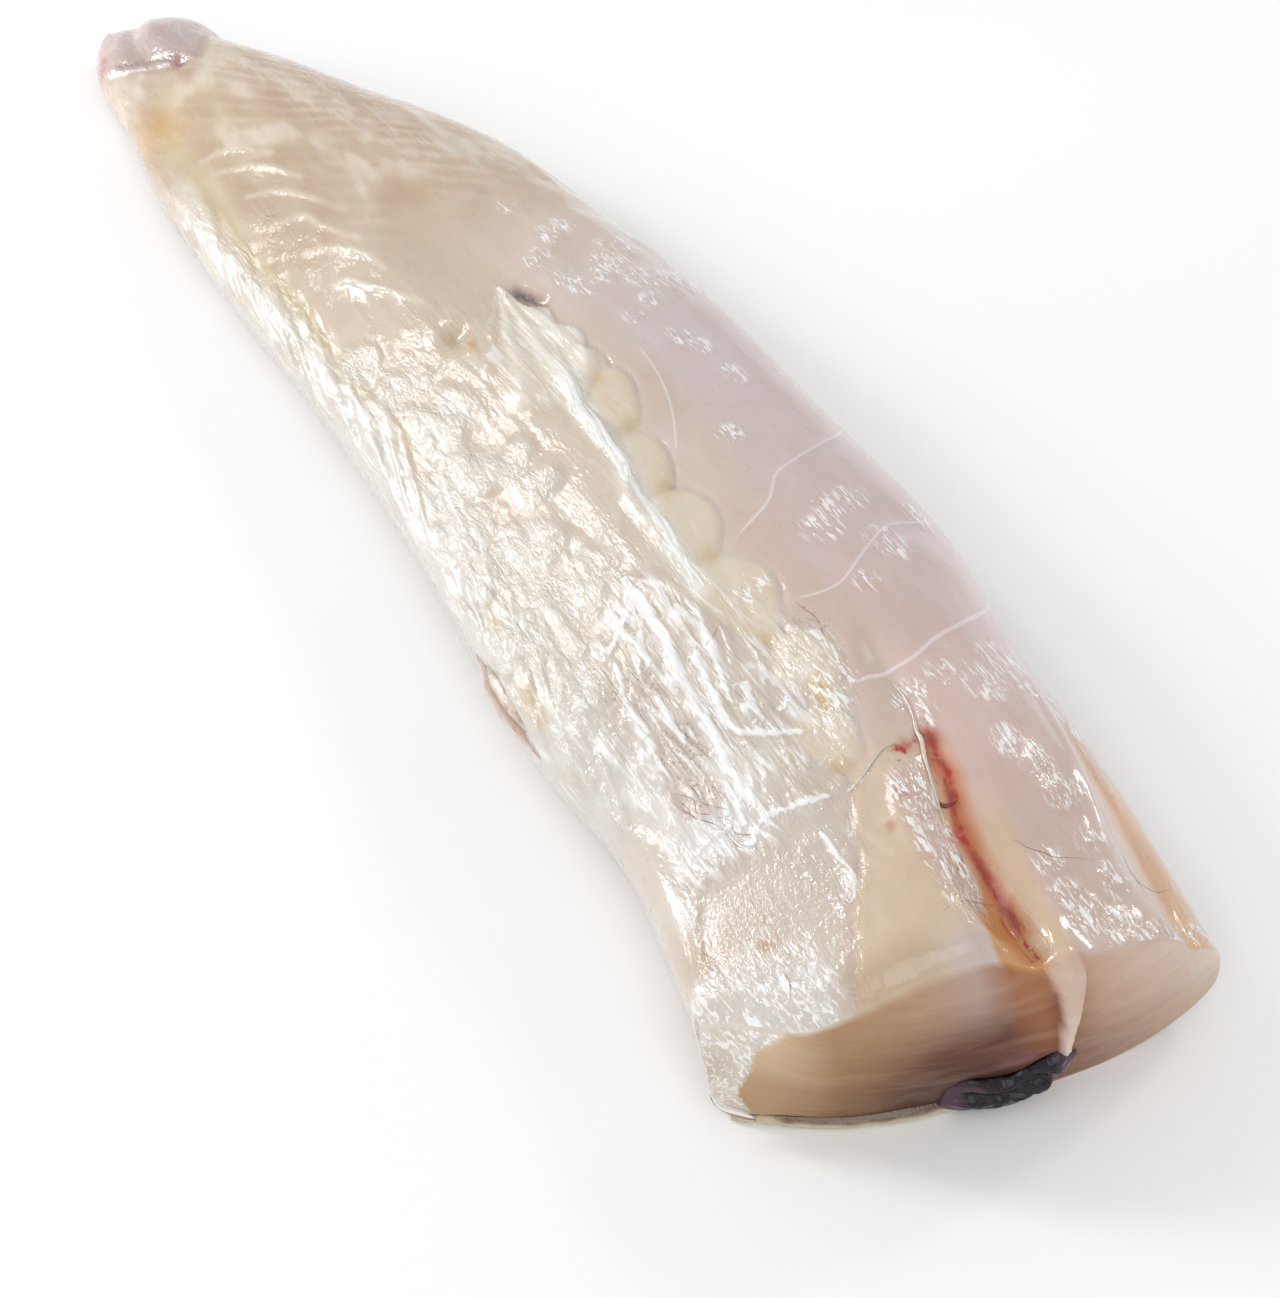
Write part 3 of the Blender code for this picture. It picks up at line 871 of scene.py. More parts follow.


# Where the wet skin is finely crumpled and white glints are painted in as highlights: (size in mm,
# places).
SPARKLES = (
    (2.5, ((0.342, 0.38), (0.478, 0.39), (0.507, 0.51), (0.520, 0.56))),
    (3.0, ((0.748, 0.39), (0.948, 0.415), (0.381, 0.42), (0.400, 0.25), (0.439, 0.30), (0.468, 0.56),
           (0.374, 0.54), (0.292, 0.90), (0.600, 0.35), (0.550, 0.60))),
    (3.5, ((0.679, 0.60), (0.699, 0.85), (0.846, 0.25), (0.826, 0.42), (0.881, 0.51), (0.968, 0.42),
           (0.433, 0.48), (0.423, 0.26))),
    (4.0, ((0.698, 0.36), (0.684, 0.48), (0.833, 0.26), (0.895, 0.59), (0.913, 0.61), (0.942, 0.63),
           (0.965, 0.65), (0.980, 0.47), (0.990, 0.56), (0.995, 0.67), (0.997, 0.80), (0.996, 0.93),
           (0.716, -0.04), (0.402, 0.71), (0.420, 0.56), (0.436, 0.58), (0.446, 0.64), (0.449, 0.74),
           (0.452, 0.84))),
    (5.0, ((0.721, 0.58), (0.838, 0.58), (0.821, 0.75), (0.850, 0.82), (0.861, 0.86), (0.778, -0.05),
           (0.800, -0.02), (0.825, -0.09))),
)


def skin_weights(points, along, across):
    """How much of each fine texture, and of the painted glints, the shader draws at a place."""
    mask = texture_masks(along, across)
    patchy = ramp(-0.15, 0.35, fractal(points, (22.0, 9.0, 14.0), 22))
    mass = mass_share(points)
    domes = hollow_relief(points)[1]
    fan = fan_parts(points)[0]
    corner = corner_share(points, along, across)
    cord = on_line(points, TENDON, 2.0)
    beside = across - curve(GROOVE_LINE, along)
    inner = mask["cream"] * window(beside, -0.24, -0.06, 0.04) * window(along, 0.87, 0.97, 0.02)
    disc = near(points, DISC_MIDDLE, 13.0)
    torn = 1.0 + 0.9 * fractal(points, (5.0, 3.0, 3.5), 27)
    sparkle = np.clip(near_any(points, SPARKLES) * torn, 0, 1)
    rims = np.max([on_line(points, line, 2.4)
                   for line in (DISC_RIM, SHIELD_RIM, LEFT_MEMBRANE, LOBE_EDGE)], axis=0)
    middle = mask["left"] * window(along, 0.38, 0.70, 0.04)
    flank = ramp(0.80, 0.92, across) * ramp(-0.2, 0.4, fractal(points, (30.0, 10.0, 10.0), 28))
    crinkle = (0.02 + mask["tail"] * (0.06 + 0.16 * patchy) + 0.30 * mass + 0.2 * mask["margin"]
               + 0.14 * middle + 0.7 * rims + 0.35 * cap_share(along, across) + 0.30 * flank
               + 0.25 * mask["membrane"] + 0.1 * mask["cream"] * patchy + 0.8 * inner)
    weights = {
        "crinkle": (crinkle * (1 - 0.8 * domes) + 0.8 * sparkle + 0.35 * disc + 0.7 * corner
                    + 0.3 * cord + 0.6 * near(points, GLINTING, 5.0)),
        # glints: where white flecks are painted into the colour as highlights
        "glints": (sparkle + 0.6 * corner + 0.35 * mass + 0.7 * inner + 0.4 * disc
                   + 0.5 * near(points, GLINTING, 6.0)),
        "threads": (mask["membrane"] * (1 - 0.5 * domes) + 0.5 * mask["margin"] + 0.5 * fan
                    + 0.6 * cord + 0.5 * corner + 0.22 * mask["tail"] * ramp(0.0, 0.3, across)
                    + 0.12 * middle + 0.25 * flank),
        "speckle": speckled_share(points),
        "fine": (0.02 + 0.12 * mask["tail"] + disc + 0.8 * mass + 0.3 * mask["margin"]
                 + 0.4 * inner + 0.5 * sparkle + 0.5 * corner + 0.2 * mask["membrane"]
                 + 0.25 * domes),
    }
    return {name: np.clip(values, 0, 1) for name, values in weights.items()}


# ---- the flesh ----------------------------------------------------------------------------
TONGUE_RISE = 2.2            # how far the tongue stands out of the cut


class Skin:
    """Vertices with their colours and weights, and the faces between them."""

    def __init__(self):
        self.points = []
        self.tints = []
        self.index = {}
        self.faces = []

    def add(self, key, point, tint):
        self.index[key] = len(self.points)
        self.points.append(point)
        self.tints.append(tint)

    def share(self, key, other):
        self.index[key] = self.index[other]

    def face(self, keys):
        corners = list(dict.fromkeys(self.index[key] for key in keys))
        if len(corners) > 2:
            self.faces.append(corners)


def body_grid():
    """Points and colours of rings round the body; the relief is on the upper side only."""
    along = np.linspace(0, 1, RINGS + 1) ** RING_CROWDING
    under = COLUMNS // UNDER_EVERY
    over_angle = np.arange(COLUMNS + 1) * math.pi / COLUMNS
    angle = np.concatenate([over_angle, math.pi + np.arange(1, under) * math.pi / under])
    grid_along, grid_angle = np.meshgrid(along, angle, indexing="ij")
    body = form(grid_along, grid_angle) + SHIFT
    round_ = (np.roll(body, -1, axis=1) - np.roll(body, 1, axis=1)) / 2
    normal = unit(np.cross(round_, np.gradient(body, axis=0))).reshape(-1, 3)

    flat = body.reshape(-1, 3)
    place = grid_along.reshape(-1)
    across = np.cos(grid_angle).reshape(-1)
    over = (grid_angle <= math.pi + 1e-9).reshape(-1)
    rise = np.zeros(len(flat))
    rise[over] = relief(flat[over], place[over], across[over])
    rise[over] *= 0.35 + 0.65 * ramp(0.0, 0.15, np.sin(grid_angle).reshape(-1)[over])
    rise[~over] = 0.3 * fractal(flat[~over], (20.0, 10.0, 10.0), 11)
    rise[~over] *= ramp(0.4, 3.0, flat[~over][:, 2]) * ramp(1.0, 0.97, place[~over])
    rise *= ramp(0.0, 0.03, place)
    filled = flat.copy()
    filled[over, 2] += groove_fill(place[over], across[over])
    slant = (np.clip(filled[:, 2], 0, None) ** 1.5 - flat[:, 2] ** 1.5) / FULL_HEIGHT**1.5
    filled[:, 0] -= CUT_SLANT * slant * place**CUT_REACH
    body = (filled + normal * rise[:, None]).reshape(body.shape)
    body[..., 2] = np.maximum(body[..., 2], 0.0)
    corner = ramp(-0.66, -0.92, across) * ramp(0.91, 1.0, place) * over
    corner = corner.reshape(grid_angle.shape) * ramp(0.0, 0.35, np.sin(grid_angle))
    body[..., 0] -= CORNER_ROUNDING * corner
    turned = ramp(0.972, 1.0, place) ** 2 * ramp(0.0, 0.25, np.sin(grid_angle.reshape(-1))) * over
    body[..., 2] -= RIM_ROUNDING * (turned * ramp(0.25, 0.1, across)).reshape(grid_angle.shape)

    tint = gradient(UNDER_TONES, place)
    tint[over] = skin_tints(flat[over], place[over], across[over])
    grid_tint = tint.reshape(body.shape)
    below = np.sin(grid_angle[:, COLUMNS + 1:])[..., None]
    edges = np.where(np.cos(grid_angle[:, COLUMNS + 1:, None]) > 0, grid_tint[:, :1],
                     grid_tint[:, COLUMNS:COLUMNS + 1])
    grid_tint[:, COLUMNS + 1:] += (edges - grid_tint[:, COLUMNS + 1:]) * ramp(-0.55, -0.05, below)
    uneven = fractal(flat[~over], (12.0, 6.0, 6.0), 87)
    tint[~over] = paint(tint[~over], *mottled(UNDER_MOTTLE_TONES, (0.35, 0.45), uneven, 0.6))
    return along, angle, body, tint.reshape(body.shape)


def cut_relief(row, share):
    """How far the cut bulges out of the plane between its rims."""
    steps = 0.30 * ridged(row, (8.0, 16.0, 3.0), 95) + 0.25 * fractal(row, 4.0, 96)
    rim = RIM_ROUNDING * np.sqrt(1 - share**8) * ramp(0.0, 0.5, share)
    return CUT_BULGE * tapered(share, power=1) + steps * tapered(share) + rim


def add_rings(skin_, body, tint, column_of):
    """Vertices of the rings. The first is closed flat: its underside is its upper side."""
    around = body.shape[1]
    for k in range(around):
        if k <= COLUMNS:
            skin_.add((0, k), body[0, k], tint[0, k])
        else:
            skin_.share((0, k), (0, column_of[k]))
    for ring in range(1, RINGS + 1):
        for k in range(around):
            skin_.add((ring, k), body[ring, k], tint[ring, k])
        skin_.share((ring, around), (ring, 0))
    skin_.share((0, around), (0, 0))


def add_low_line(skin_, body, tint, angle):
    """The cut's lower rim, at the upper side's finer step."""
    around = len(angle)
    low_line = form(np.ones(COLUMNS + 1), -angle[:COLUMNS + 1]) + SHIFT
    for column in range(COLUMNS + 1):
        if column % UNDER_EVERY == 0:
            k = (around - column // UNDER_EVERY) if 0 < column < COLUMNS else column
            skin_.share(("low", column), (RINGS, k))
            low_line[column] = body[RINGS, k]
        else:
            skin_.add(("low", column), low_line[column], tint[RINGS, around - 1])
    return low_line


def add_ring_faces(skin_, column_of):
    for ring in range(RINGS):
        for k in range(len(column_of) - 1):
            near_edge = [(ring, k), (ring, k + 1)]
            far_edge = [(ring + 1, k + 1), (ring + 1, k)]
            columns = range(column_of[k], column_of[k + 1] - 1, -1)
            if k >= COLUMNS and ring == 0:
                near_edge = [(0, column) for column in columns]
            if k >= COLUMNS and ring == RINGS - 1:
                far_edge = [("low", column) for column in reversed(columns)]
            skin_.face(near_edge + far_edge)


def add_cut(skin_, low_line, high_line, angle):
    """Vertices and faces of the cut, between its lower and its upper rim."""
    share = np.arange(1, CUT_ROWS) / CUT_ROWS
    for column in range(COLUMNS + 1):
        skin_.share(("cut", column, 0), ("low", column))
        skin_.share(("cut", column, CUT_ROWS), (RINGS, column))
        row = low_line[column] + (high_line[column] - low_line[column]) * share[:, None]
        row[:, 0] += cut_relief(row, share) * math.sin(angle[column])
        row[:, 0] += TONGUE_RISE * tongue_share(row) * ramp(1.0, 0.93, share)
        shades = cut_tints(row, np.full(len(share), math.cos(angle[column])), share)
        for n in range(1, CUT_ROWS):
            if column in (0, COLUMNS):
                skin_.share(("cut", column, n), (RINGS, column))
            else:
                skin_.add(("cut", column, n), row[n - 1], shades[n - 1])
    for column in range(COLUMNS):
        for n in range(CUT_ROWS):
            skin_.face([("cut", column, n), ("cut", column, n + 1),
                        ("cut", column + 1, n + 1), ("cut", column + 1, n)])


def flesh_skin():
    """The closed skin: upper side, plainer underside, and the cut."""
    along, angle, body, tint = body_grid()
    around = len(angle)
    column_of = [k if k <= COLUMNS else (around - k) * UNDER_EVERY for k in range(around)] + [0]
    skin_ = Skin()
    add_rings(skin_, body, tint, column_of)
    low_line = add_low_line(skin_, body, tint, angle)
    add_ring_faces(skin_, column_of)
    body_faces = len(skin_.faces)
    add_cut(skin_, low_line, body[RINGS], angle)
    return skin_, body_faces, along, angle


def give(mesh, name, values, kind="FLOAT"):
    key = {"FLOAT": "value", "FLOAT_COLOR": "color", "FLOAT_VECTOR": "vector"}[kind]
    layer = mesh.attributes.new(name, kind, "POINT")
    layer.data.foreach_set(key, np.asarray(values, np.float32).ravel())


# How much of each texture, and of the painted glints, the membrane has where it comes down over the cut,
# and the underside.
COVER_WEIGHTS = {"crinkle": 0.8, "glints": 0.6, "threads": 0.5, "speckle": 0.0, "fine": 0.5}
UNDER_WEIGHTS = {"crinkle": 0.16, "glints": 0.0, "threads": 0.14, "speckle": 0.0, "fine": 0.15}


def flesh_mesh():
    skin_, body_faces, along, angle = flesh_skin()
    points = np.array(skin_.points)
    mesh = bpy.data.meshes.new("flesh")
    mesh.from_pydata(points * MM, [], skin_.faces)
    at_cut = [key for key in skin_.index if key[0] == "cut" and 0 < key[2] < CUT_ROWS]
    index = [skin_.index[key] for key in at_cut]
    share = np.array([key[2] / CUT_ROWS for key in at_cut])
    across = np.cos(angle[[key[1] for key in at_cut]])
    covered = np.zeros(len(points))
    covered[index] = ramp(0.02, 0.0, across - ragged_edge(points[index], share))
    bare = [n >= body_faces and min(covered[face]) < 0.5 for n, face in enumerate(skin_.faces)]
    mesh.polygons.foreach_set("material_index", np.array(bare, np.int32))
    mesh.shade_smooth()

    over = [(ring, k) for ring in range(RINGS + 1) for k in range(COLUMNS + 1)]
    index = np.array([skin_.index[key] for key in over])
    place = along[[key[0] for key in over]]
    across = np.cos(angle[[key[1] for key in over]])
    plain = skin(place, across)
    give(mesh, "tint", np.column_stack([skin_.tints, np.ones(len(points))]), "FLOAT_COLOR")
    for name, values in skin_weights(plain, place, across).items():
        everywhere = UNDER_WEIGHTS[name] + (COVER_WEIGHTS[name] - UNDER_WEIGHTS[name]) * covered
        everywhere[index] = values
        give(mesh, name, everywhere)
    for name, lines, widths in (("pale_lines", SEPTA, SEPTUM_WIDTHS),
                                ("blood_lines", BLOOD_LINES, BLOOD_WIDTHS),
                                ("fold_lines", FOLDS, FOLD_WIDTHS)):
        everywhere = np.tile((LINE_REACH, 0.0, 0.0), (len(points), 1))
        everywhere[index] = line_fields(plain, lines, widths)
        give(mesh, name, everywhere, "FLOAT_VECTOR")
    return mesh


# ---- materials ----------------------------------------------------------------------------
class Finish:
    """A wet, translucent material, built node by node. Sizes are in mm."""

    def __init__(self, name, **constants):
        self.material = bpy.data.materials.new(name)
        self.material.use_nodes = True
        self.tree = self.material.node_tree
        self.shader = self.tree.nodes["Principled BSDF"]
        for socket, value in constants.items():
            self.shader.inputs[socket.replace("_", " ")].default_value = value
        self.here = self.put("ShaderNodeTexCoord").outputs["Object"]

    def put(self, kind, inputs=(), **settings):
        node = self.tree.nodes.new(kind)
        for key, value in settings.items():
            setattr(node, key, value)
        for key, value in dict(inputs).items():
            if isinstance(value, bpy.types.NodeSocket):
                self.tree.links.new(value, node.inputs[key])
            else:
                node.inputs[key].default_value = value
        return node

    def to_shader(self, socket, value):
        self.tree.links.new(value, self.shader.inputs[socket])

    def carried(self, name, output="Fac"):
        """What the mesh carries under a name."""
        return self.put("ShaderNodeAttribute", attribute_name=name).outputs[output]

    def math(self, operation, a, b=0.0):
        return self.put("ShaderNodeMath", {0: a, 1: b}, operation=operation).outputs[0]

    def times(self, a, b):
        return self.math("MULTIPLY", a, b)

    def step(self, value, low, high, bottom=0.0, top=1.0):
        """Smooth step of a value."""
        inputs = {"Value": value, "From Min": low, "From Max": high, "To Min": bottom, "To Max": top}
        return self.put("ShaderNodeMapRange", inputs, interpolation_type="SMOOTHSTEP").outputs[0]

    def grain(self, size, detail=2.0, turn=0.0, warp=0.0):
        """Noise from 0 to 1, of a size along each axis, turned about the first."""
        scale = tuple(1 / (edge * MM) for edge in size)
        inputs = {"Vector": self.here, "Rotation": (turn, 0.0, 0.0), "Scale": scale}
        spot = self.put("ShaderNodeMapping", inputs)
        inputs = {"Vector": spot.outputs[0], "Scale": 1.0, "Detail": detail, "Distortion": warp}
        return self.put("ShaderNodeTexNoise", inputs).outputs["Fac"]

    def mix(self, weight, a, b, blend="MIX"):
        node = self.put("ShaderNodeMix", {0: weight, 6: a, 7: b}, data_type="RGBA", blend_type=blend)
        return node.outputs[2]

    def lay(self, colour, tone, weight, blend="MIX"):
        return self.mix(weight, colour, (*linear(tone), 1.0), blend)

    def line(self, name, soft=0.2, ragged=0.0):
        """1 on a line whose signed distance and half width the mesh carries."""
        parts = self.put("ShaderNodeSeparateXYZ", {0: self.carried(name, "Vector")})
        inside = self.math("SUBTRACT", parts.outputs[1], self.math("ABSOLUTE", parts.outputs[0]))
        if ragged:
            torn = self.math("SUBTRACT", self.grain((5.0, 0.9, 1.2), 3.0, warp=0.5), 0.5)
            inside = self.math("ADD", inside, self.times(torn, ragged))
        present = self.step(parts.outputs[1], 0.02, 0.15)
        return self.times(self.step(inside, -soft, soft), present)

    def finished(self, colour, roughness, heights, coat=True):
        """The material, with a colour, a grain between two roughnesses, and bumps that are the
        sum of some heights times their amounts."""
        self.to_shader("Base Color", colour)
        grain, low, high = roughness
        self.to_shader("Roughness", self.step(grain, 0.3, 0.7, low, high))
        total = self.times(*heights[0])
        for height, amount in heights[1:]:
            total = self.math("ADD", total, self.times(height, amount))
        inputs = {"Height": total, "Distance": MM, "Strength": 1.0}
        normal = self.put("ShaderNodeBump", inputs).outputs[0]
        self.to_shader("Normal", normal)
        if coat:
            self.to_shader("Coat Normal", normal)
        return self.material


WET = {"Subsurface_Weight": 0.35, "Subsurface_Radius": (1.0, 0.55, 0.35), "Subsurface_Scale": 0.004,
       "Coat_Weight": 1.0, "Coat_Roughness": 0.06, "Coat_IOR": 1.5, "IOR": 1.45}


def skin_material():
    made = Finish("wet_flesh", **WET)
    threads = made.carried("threads")
    pale = made.step(made.grain((11.0, 1.8, 2.2), 4.0, warp=0.9), 0.50, 0.62)
    pale = made.times(pale, made.step(made.grain((15.0, 9.0, 9.0)), 0.40, 0.56, 0.15))
    patches = made.step(made.grain((3.0, 1.6, 1.6), 3.0), 0.45, 0.75)
    # white flecks where the glints weight is high: painted highlights of the wet skin
    painted_glints = made.step(made.grain((5.2, 1.1, 1.3), 3.0, warp=1.6), 0.535, 0.59)
    painted_glints = made.times(painted_glints, made.step(made.carried("glints"), 0.2, 0.6))
    specks = made.step(made.grain((0.7, 0.7, 0.7)), 0.58, 0.66)
    smear = made.step(made.grain((1.6, 1.6, 1.6)), 0.32, 0.6)
    layers = (
        # white streaks on the threads: partly the membrane's white fibres, partly painted highlight
        ((253, 251, 248), pale, made.times(threads, 0.95)),
        ((196, 168, 140), patches, 0.12),
        ((255, 254, 252), painted_glints, 0.95),
        ((130, 110, 96), specks, made.times(made.carried("speckle"), 0.55)),
        ((238, 228, 230), made.line("pale_lines", 0.25), 0.75),
        # folds painted white: partly the membrane's own white, partly painted highlight
        ((253, 252, 250), made.line("fold_lines", 0.3, 2.6), 0.9),
        ((176, 34, 16), made.line("blood_lines", 0.6, 3.4), smear),
    )
    colour = made.carried("tint", "Color")
    broad = made.step(made.grain((16.0, 9.0, 9.0), 3.0), 0.3, 0.7)
    colour = made.mix(broad, colour, made.lay(colour, (255, 246, 236), 0.5, "MULTIPLY"))
    for tone, weight, amount in layers:
        colour = made.lay(colour, tone, made.times(weight, amount))

    coarse = made.times(made.grain((2.8, 1.3, 1.5), warp=0.6), 0.60)
    fine = made.times(made.grain((0.9, 0.5, 0.55), 1.0), 0.14)
    drawn = made.times(made.grain((11.0, 1.8, 2.2), 4.0, warp=0.7), threads)
    dots = made.times(made.grain((1.1, 0.65, 0.65), warp=0.8), made.carried("fine"))
    return made.finished(colour, (made.grain((5.0, 3.0, 3.0)), 0.26, 0.42), (
        (made.math("ADD", coarse, fine), made.carried("crinkle")), (drawn, 0.8), (dots, 0.24),
        (made.line("pale_lines", 0.5), 0.03), (made.line("fold_lines", 0.6, 2.6), 0.20)))


def cut_material():
    made = Finish("cut_flesh", **{**WET, "Coat_Weight": 0.2, "Coat_Roughness": 0.22,
                                  "Specular_IOR_Level": 0.3})
    colour = made.carried("tint", "Color")
    flakes = made.step(made.grain((30.0, 22.0, 2.6), 3.0, 0.10, 0.9), 0.35, 0.68)
    colour = made.mix(made.times(flakes, 0.15), colour,
                      made.lay(colour, (214, 172, 140), 0.9, "MULTIPLY"))
    pale = made.step(made.grain((30.0, 20.0, 3.4), 3.0, 0.16, 0.8), 0.46, 0.72)
    colour = made.lay(colour, (226, 200, 170), made.times(pale, 0.10))
    fine = made.step(made.grain((4.0, 2.2, 0.30), 3.0, 0.12), 0.52, 0.74)
    colour = made.lay(colour, (128, 92, 70), made.times(fine, 0.10))
    ridges = made.grain((8.0, 6.0, 0.8), turn=0.12, warp=0.5)
    dents = made.grain((1.2, 1.2, 0.8))
    return made.finished(colour, (made.grain((6.0, 6.0, 2.0)), 0.38, 0.55),
                         ((ridges, 0.09), (dents, 0.05)), coat=False)


def sinew_material(name, tone, shade, fibre=0.5, mottle=0.5, **changes):
    """Membrane, tendon or clot: a tone with a shade of it in patches and where the piece's shade weight
    puts it, which on the lip and the edge curl is painted shade, and fibres lengthwise.
    """
    made = Finish(name, **{**WET, "Subsurface_Scale": 0.002, **changes})
    patches = made.step(made.grain((3.0, 2.0, 2.0), 3.0), 0.40, 0.66)
    weight = made.math("MAXIMUM", made.carried("shade"), made.times(patches, mottle))
    colour = made.mix(weight, (*linear(tone), 1), (*linear(shade), 1))
    threads = made.grain((4.0, fibre, fibre), warp=0.3)
    grains = made.grain((0.7, 0.7, 0.7))
    return made.finished(colour, (made.grain((2.0, 2.0, 2.0)), 0.22, 0.40),
                         ((threads, 0.12), (grains, 0.06)))


# ---- thin pieces that stand off the flesh -------------------------------------------------
PROBE = 8.0                  # how far over the plain form a probe for the upper side starts
CUT_PROBE = 200.0            # x where a probe for the cut starts
CUT_MISSED = 160.0           # x of a place on the cut that a probe misses
WANDER_SPAN = 45.0           # mm that a strand wanders for 1 of across
PATCH_GRID = (60, 34)
PATCH_THICKNESS = 0.5
LIP_GRID = (120, 14)
LIP_THICKNESS = 0.45
CURL_STEPS = 40
CURL_SIDES = 28


def tube(centre, up, widths, heights, sides=8):
    """Points and faces of a closed tube with an oval section."""
    heading = unit(np.gradient(centre, axis=0))
    side = unit(np.cross(up, heading))
    lift = np.cross(heading, side)
    turn = np.arange(sides) * 2 * math.pi / sides
    across = (side[:, None] * np.cos(turn)[None, :, None]) * np.reshape(widths, (-1, 1, 1)) / 2
    rise = (lift[:, None] * np.sin(turn)[None, :, None]) * np.reshape(heights, (-1, 1, 1)) / 2
    points = (centre[:, None] + across + rise).reshape(-1, 3)
    faces = [[n * sides + k, n * sides + (k + 1) % sides, (n + 1) * sides + (k + 1) % sides,
              (n + 1) * sides + k]
             for n in range(len(centre) - 1) for k in range(sides)]
    last = (len(centre) - 1) * sides
    faces.append(list(reversed(range(sides))))
    faces.append([last + k for k in range(sides)])
    return points, faces


def shell(rows, thickness):
    """Points and faces of a thin closed sheet, from a grid of points down its middle."""
    rows = np.asarray(rows, float)
    tall, wide = rows.shape[:2]
    normal = unit(np.cross(np.gradient(rows, axis=0), np.gradient(rows, axis=1)))
    half = normal * np.broadcast_to(np.asarray(thickness, float), (tall, wide))[..., None] / 2
    points = np.concatenate([(rows + half).reshape(-1, 3), (rows - half).reshape(-1, 3)])
    back = tall * wide
    faces = []
    for r in range(tall - 1):
        for c in range(wide - 1):
            corner = [r * wide + c, (r + 1) * wide + c, (r + 1) * wide + c + 1, r * wide + c + 1]
            faces.append(corner)
            faces.append([back + n for n in reversed(corner)])
    rim = [c for c in range(wide)] + [r * wide + wide - 1 for r in range(1, tall)]
    rim += [(tall - 1) * wide + c for c in range(wide - 2, -1, -1)]
    rim += [r * wide for r in range(tall - 2, 0, -1)]
    for a, b in zip(rim, rim[1:] + rim[:1]):
        faces.append([a, b, back + b, back + a])
    return points, faces


def piece(name, shapes, material, shade=None):
    """One object from several shapes, riding on the body."""
    points, faces = [], []
    for some_points, some_faces in shapes:
        first = sum(len(part) for part in points)
        points.append(some_points)
        faces += [[first + n for n in face] for face in some_faces]
    mesh = bpy.data.meshes.new(name)
    mesh.from_pydata(np.concatenate(points) * MM, [], faces)
    mesh.shade_smooth()
    give(mesh, "shade", np.zeros(len(mesh.vertices)) if shade is None else shade)
    return placed(name, mesh, material)


def placed(name, mesh, *materials):
    made = bpy.data.objects.new(name, mesh)
    for material in materials:
        mesh.materials.append(material)
    bpy.context.scene.collection.objects.link(made)
    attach(made, "root")
    return made


class Ground:
    """The finished flesh, for laying thin pieces on."""

    def __init__(self, mesh):
        corners = [vertex.co / MM for vertex in mesh.vertices]
        self.tree = BVHTree.FromPolygons(corners, [face.vertices[:] for face in mesh.polygons])

    def on_top(self, along, across, lift=0.0):
        """Points on the upper side, and the normals of the plain form there."""
        normal = outward(along, across)
        start = skin(along, across) + PROBE * normal
        found = [self.tree.ray_cast(Vector(s), Vector(-n))[0] for s, n in zip(start, normal)]
        points = np.array([s if f is None else f for s, f in zip(start - PROBE * normal, found)])
        return points + lift * normal, normal

    def on_cut(self, y, z):
        """Points on the cut straight in from the front."""
        found = [self.tree.ray_cast(Vector((CUT_PROBE, a, b)), Vector((-1, 0, 0)))[0]
                 for a, b in zip(y, z)]
        return np.array([(CUT_MISSED, a, b) if f is None else f for f, a, b in zip(found, y, z)])


def fibre(ground, places, width, height, lift=0.0, seed=0, wander=0.0):
    """Tapered strand laid on the upper side."""
    along, across, points = strand(places)
    wobble = wander * noise(points, 3.0, seed)
    across = np.clip(across + wobble / WANDER_SPAN, -1, 1)
    centre, up = ground.on_top(along, across, lift)
    centre[1:-1] = (centre[:-2] + 2 * centre[1:-1] + centre[2:]) / 4
    taper = tapered(np.linspace(0, 1, len(centre)), 0.02, 0.45)
    uneven = 1 + 0.25 * noise(points, 2.0, seed + 5)
    return tube(centre, up, width * taper * uneven, height * taper * uneven)


def rim_low(across):
    """Points of the cut's lower rim."""
    return form(np.ones(len(across)), -np.arccos(np.clip(across, -1, 1))) + SHIFT


CLOT = ((0.893, 0.20), (0.898, 0.215), (0.899, 0.24))
# The dark patch at the foot of the cut: (y, low z, high z).
PATCH = ((-17.2, 2.6, 3.6), (-16.0, 1.2, 8.0), (-14.0, 0.5, 10.2), (-12.0, 0.3, 10.6), (-9.0, 0.3, 9.4),
         (-6.5, 0.3, 8.8), (-3.5, 0.4, 9.4), (-1.0, 1.4, 11.2), (1.0, 4.4, 12.4), (2.6, 7.2, 12.6),
         (4.6, 8.4, 11.4), (6.6, 9.2, 10.2))
# The membrane lip under the cut: (across, its upper edge, how far it stands out).
LIP = ((-0.93, 1.0, 0.1), (-0.87, 2.0, 0.6), (-0.75, 2.6, 1.4), (-0.55, 2.8, 2.0), (-0.38, 3.2, 2.0),
       (-0.25, 3.0, 1.6), (-0.14, 2.0, 1.0))
# The curled shred on the left edge: (along, half its height, how far it stands out).
EDGE_CURL = ((0.612, 0.6, 0.5), (0.630, 2.0, 1.8), (0.650, 3.3, 3.2), (0.672, 3.4, 3.0),
             (0.692, 2.4, 1.8), (0.715, 0.6, 0.5))


def patch_shape(ground):
    keys = smooth_line(PATCH, PATCH_GRID[0])
    share = np.linspace(0, 1, PATCH_GRID[1])
    y = np.repeat(keys[:, 0:1], len(share), axis=1)
    z = keys[:, 1:2] + (keys[:, 2:3] - keys[:, 1:2]) * share
    base = ground.on_cut(y.ravel(), z.ravel()).reshape(*y.shape, 3)
    across = np.linspace(0, 1, len(keys))[:, None]
    swell = (np.sin(math.pi * across) * np.sin(math.pi * share)) ** 0.5
    flat = base.reshape(-1, 3)
    folds = 1.4 * ridged(flat + flat[:, [1, 2, 0]] * 0.3, (9.0, 6.0, 2.6), 103)
    folds += 0.9 * fractal(flat, 2.0, 104)
    base[..., 0] += -0.35 + (2.6 + folds.reshape(y.shape)) * swell
    return shell(base, PATCH_THICKNESS)


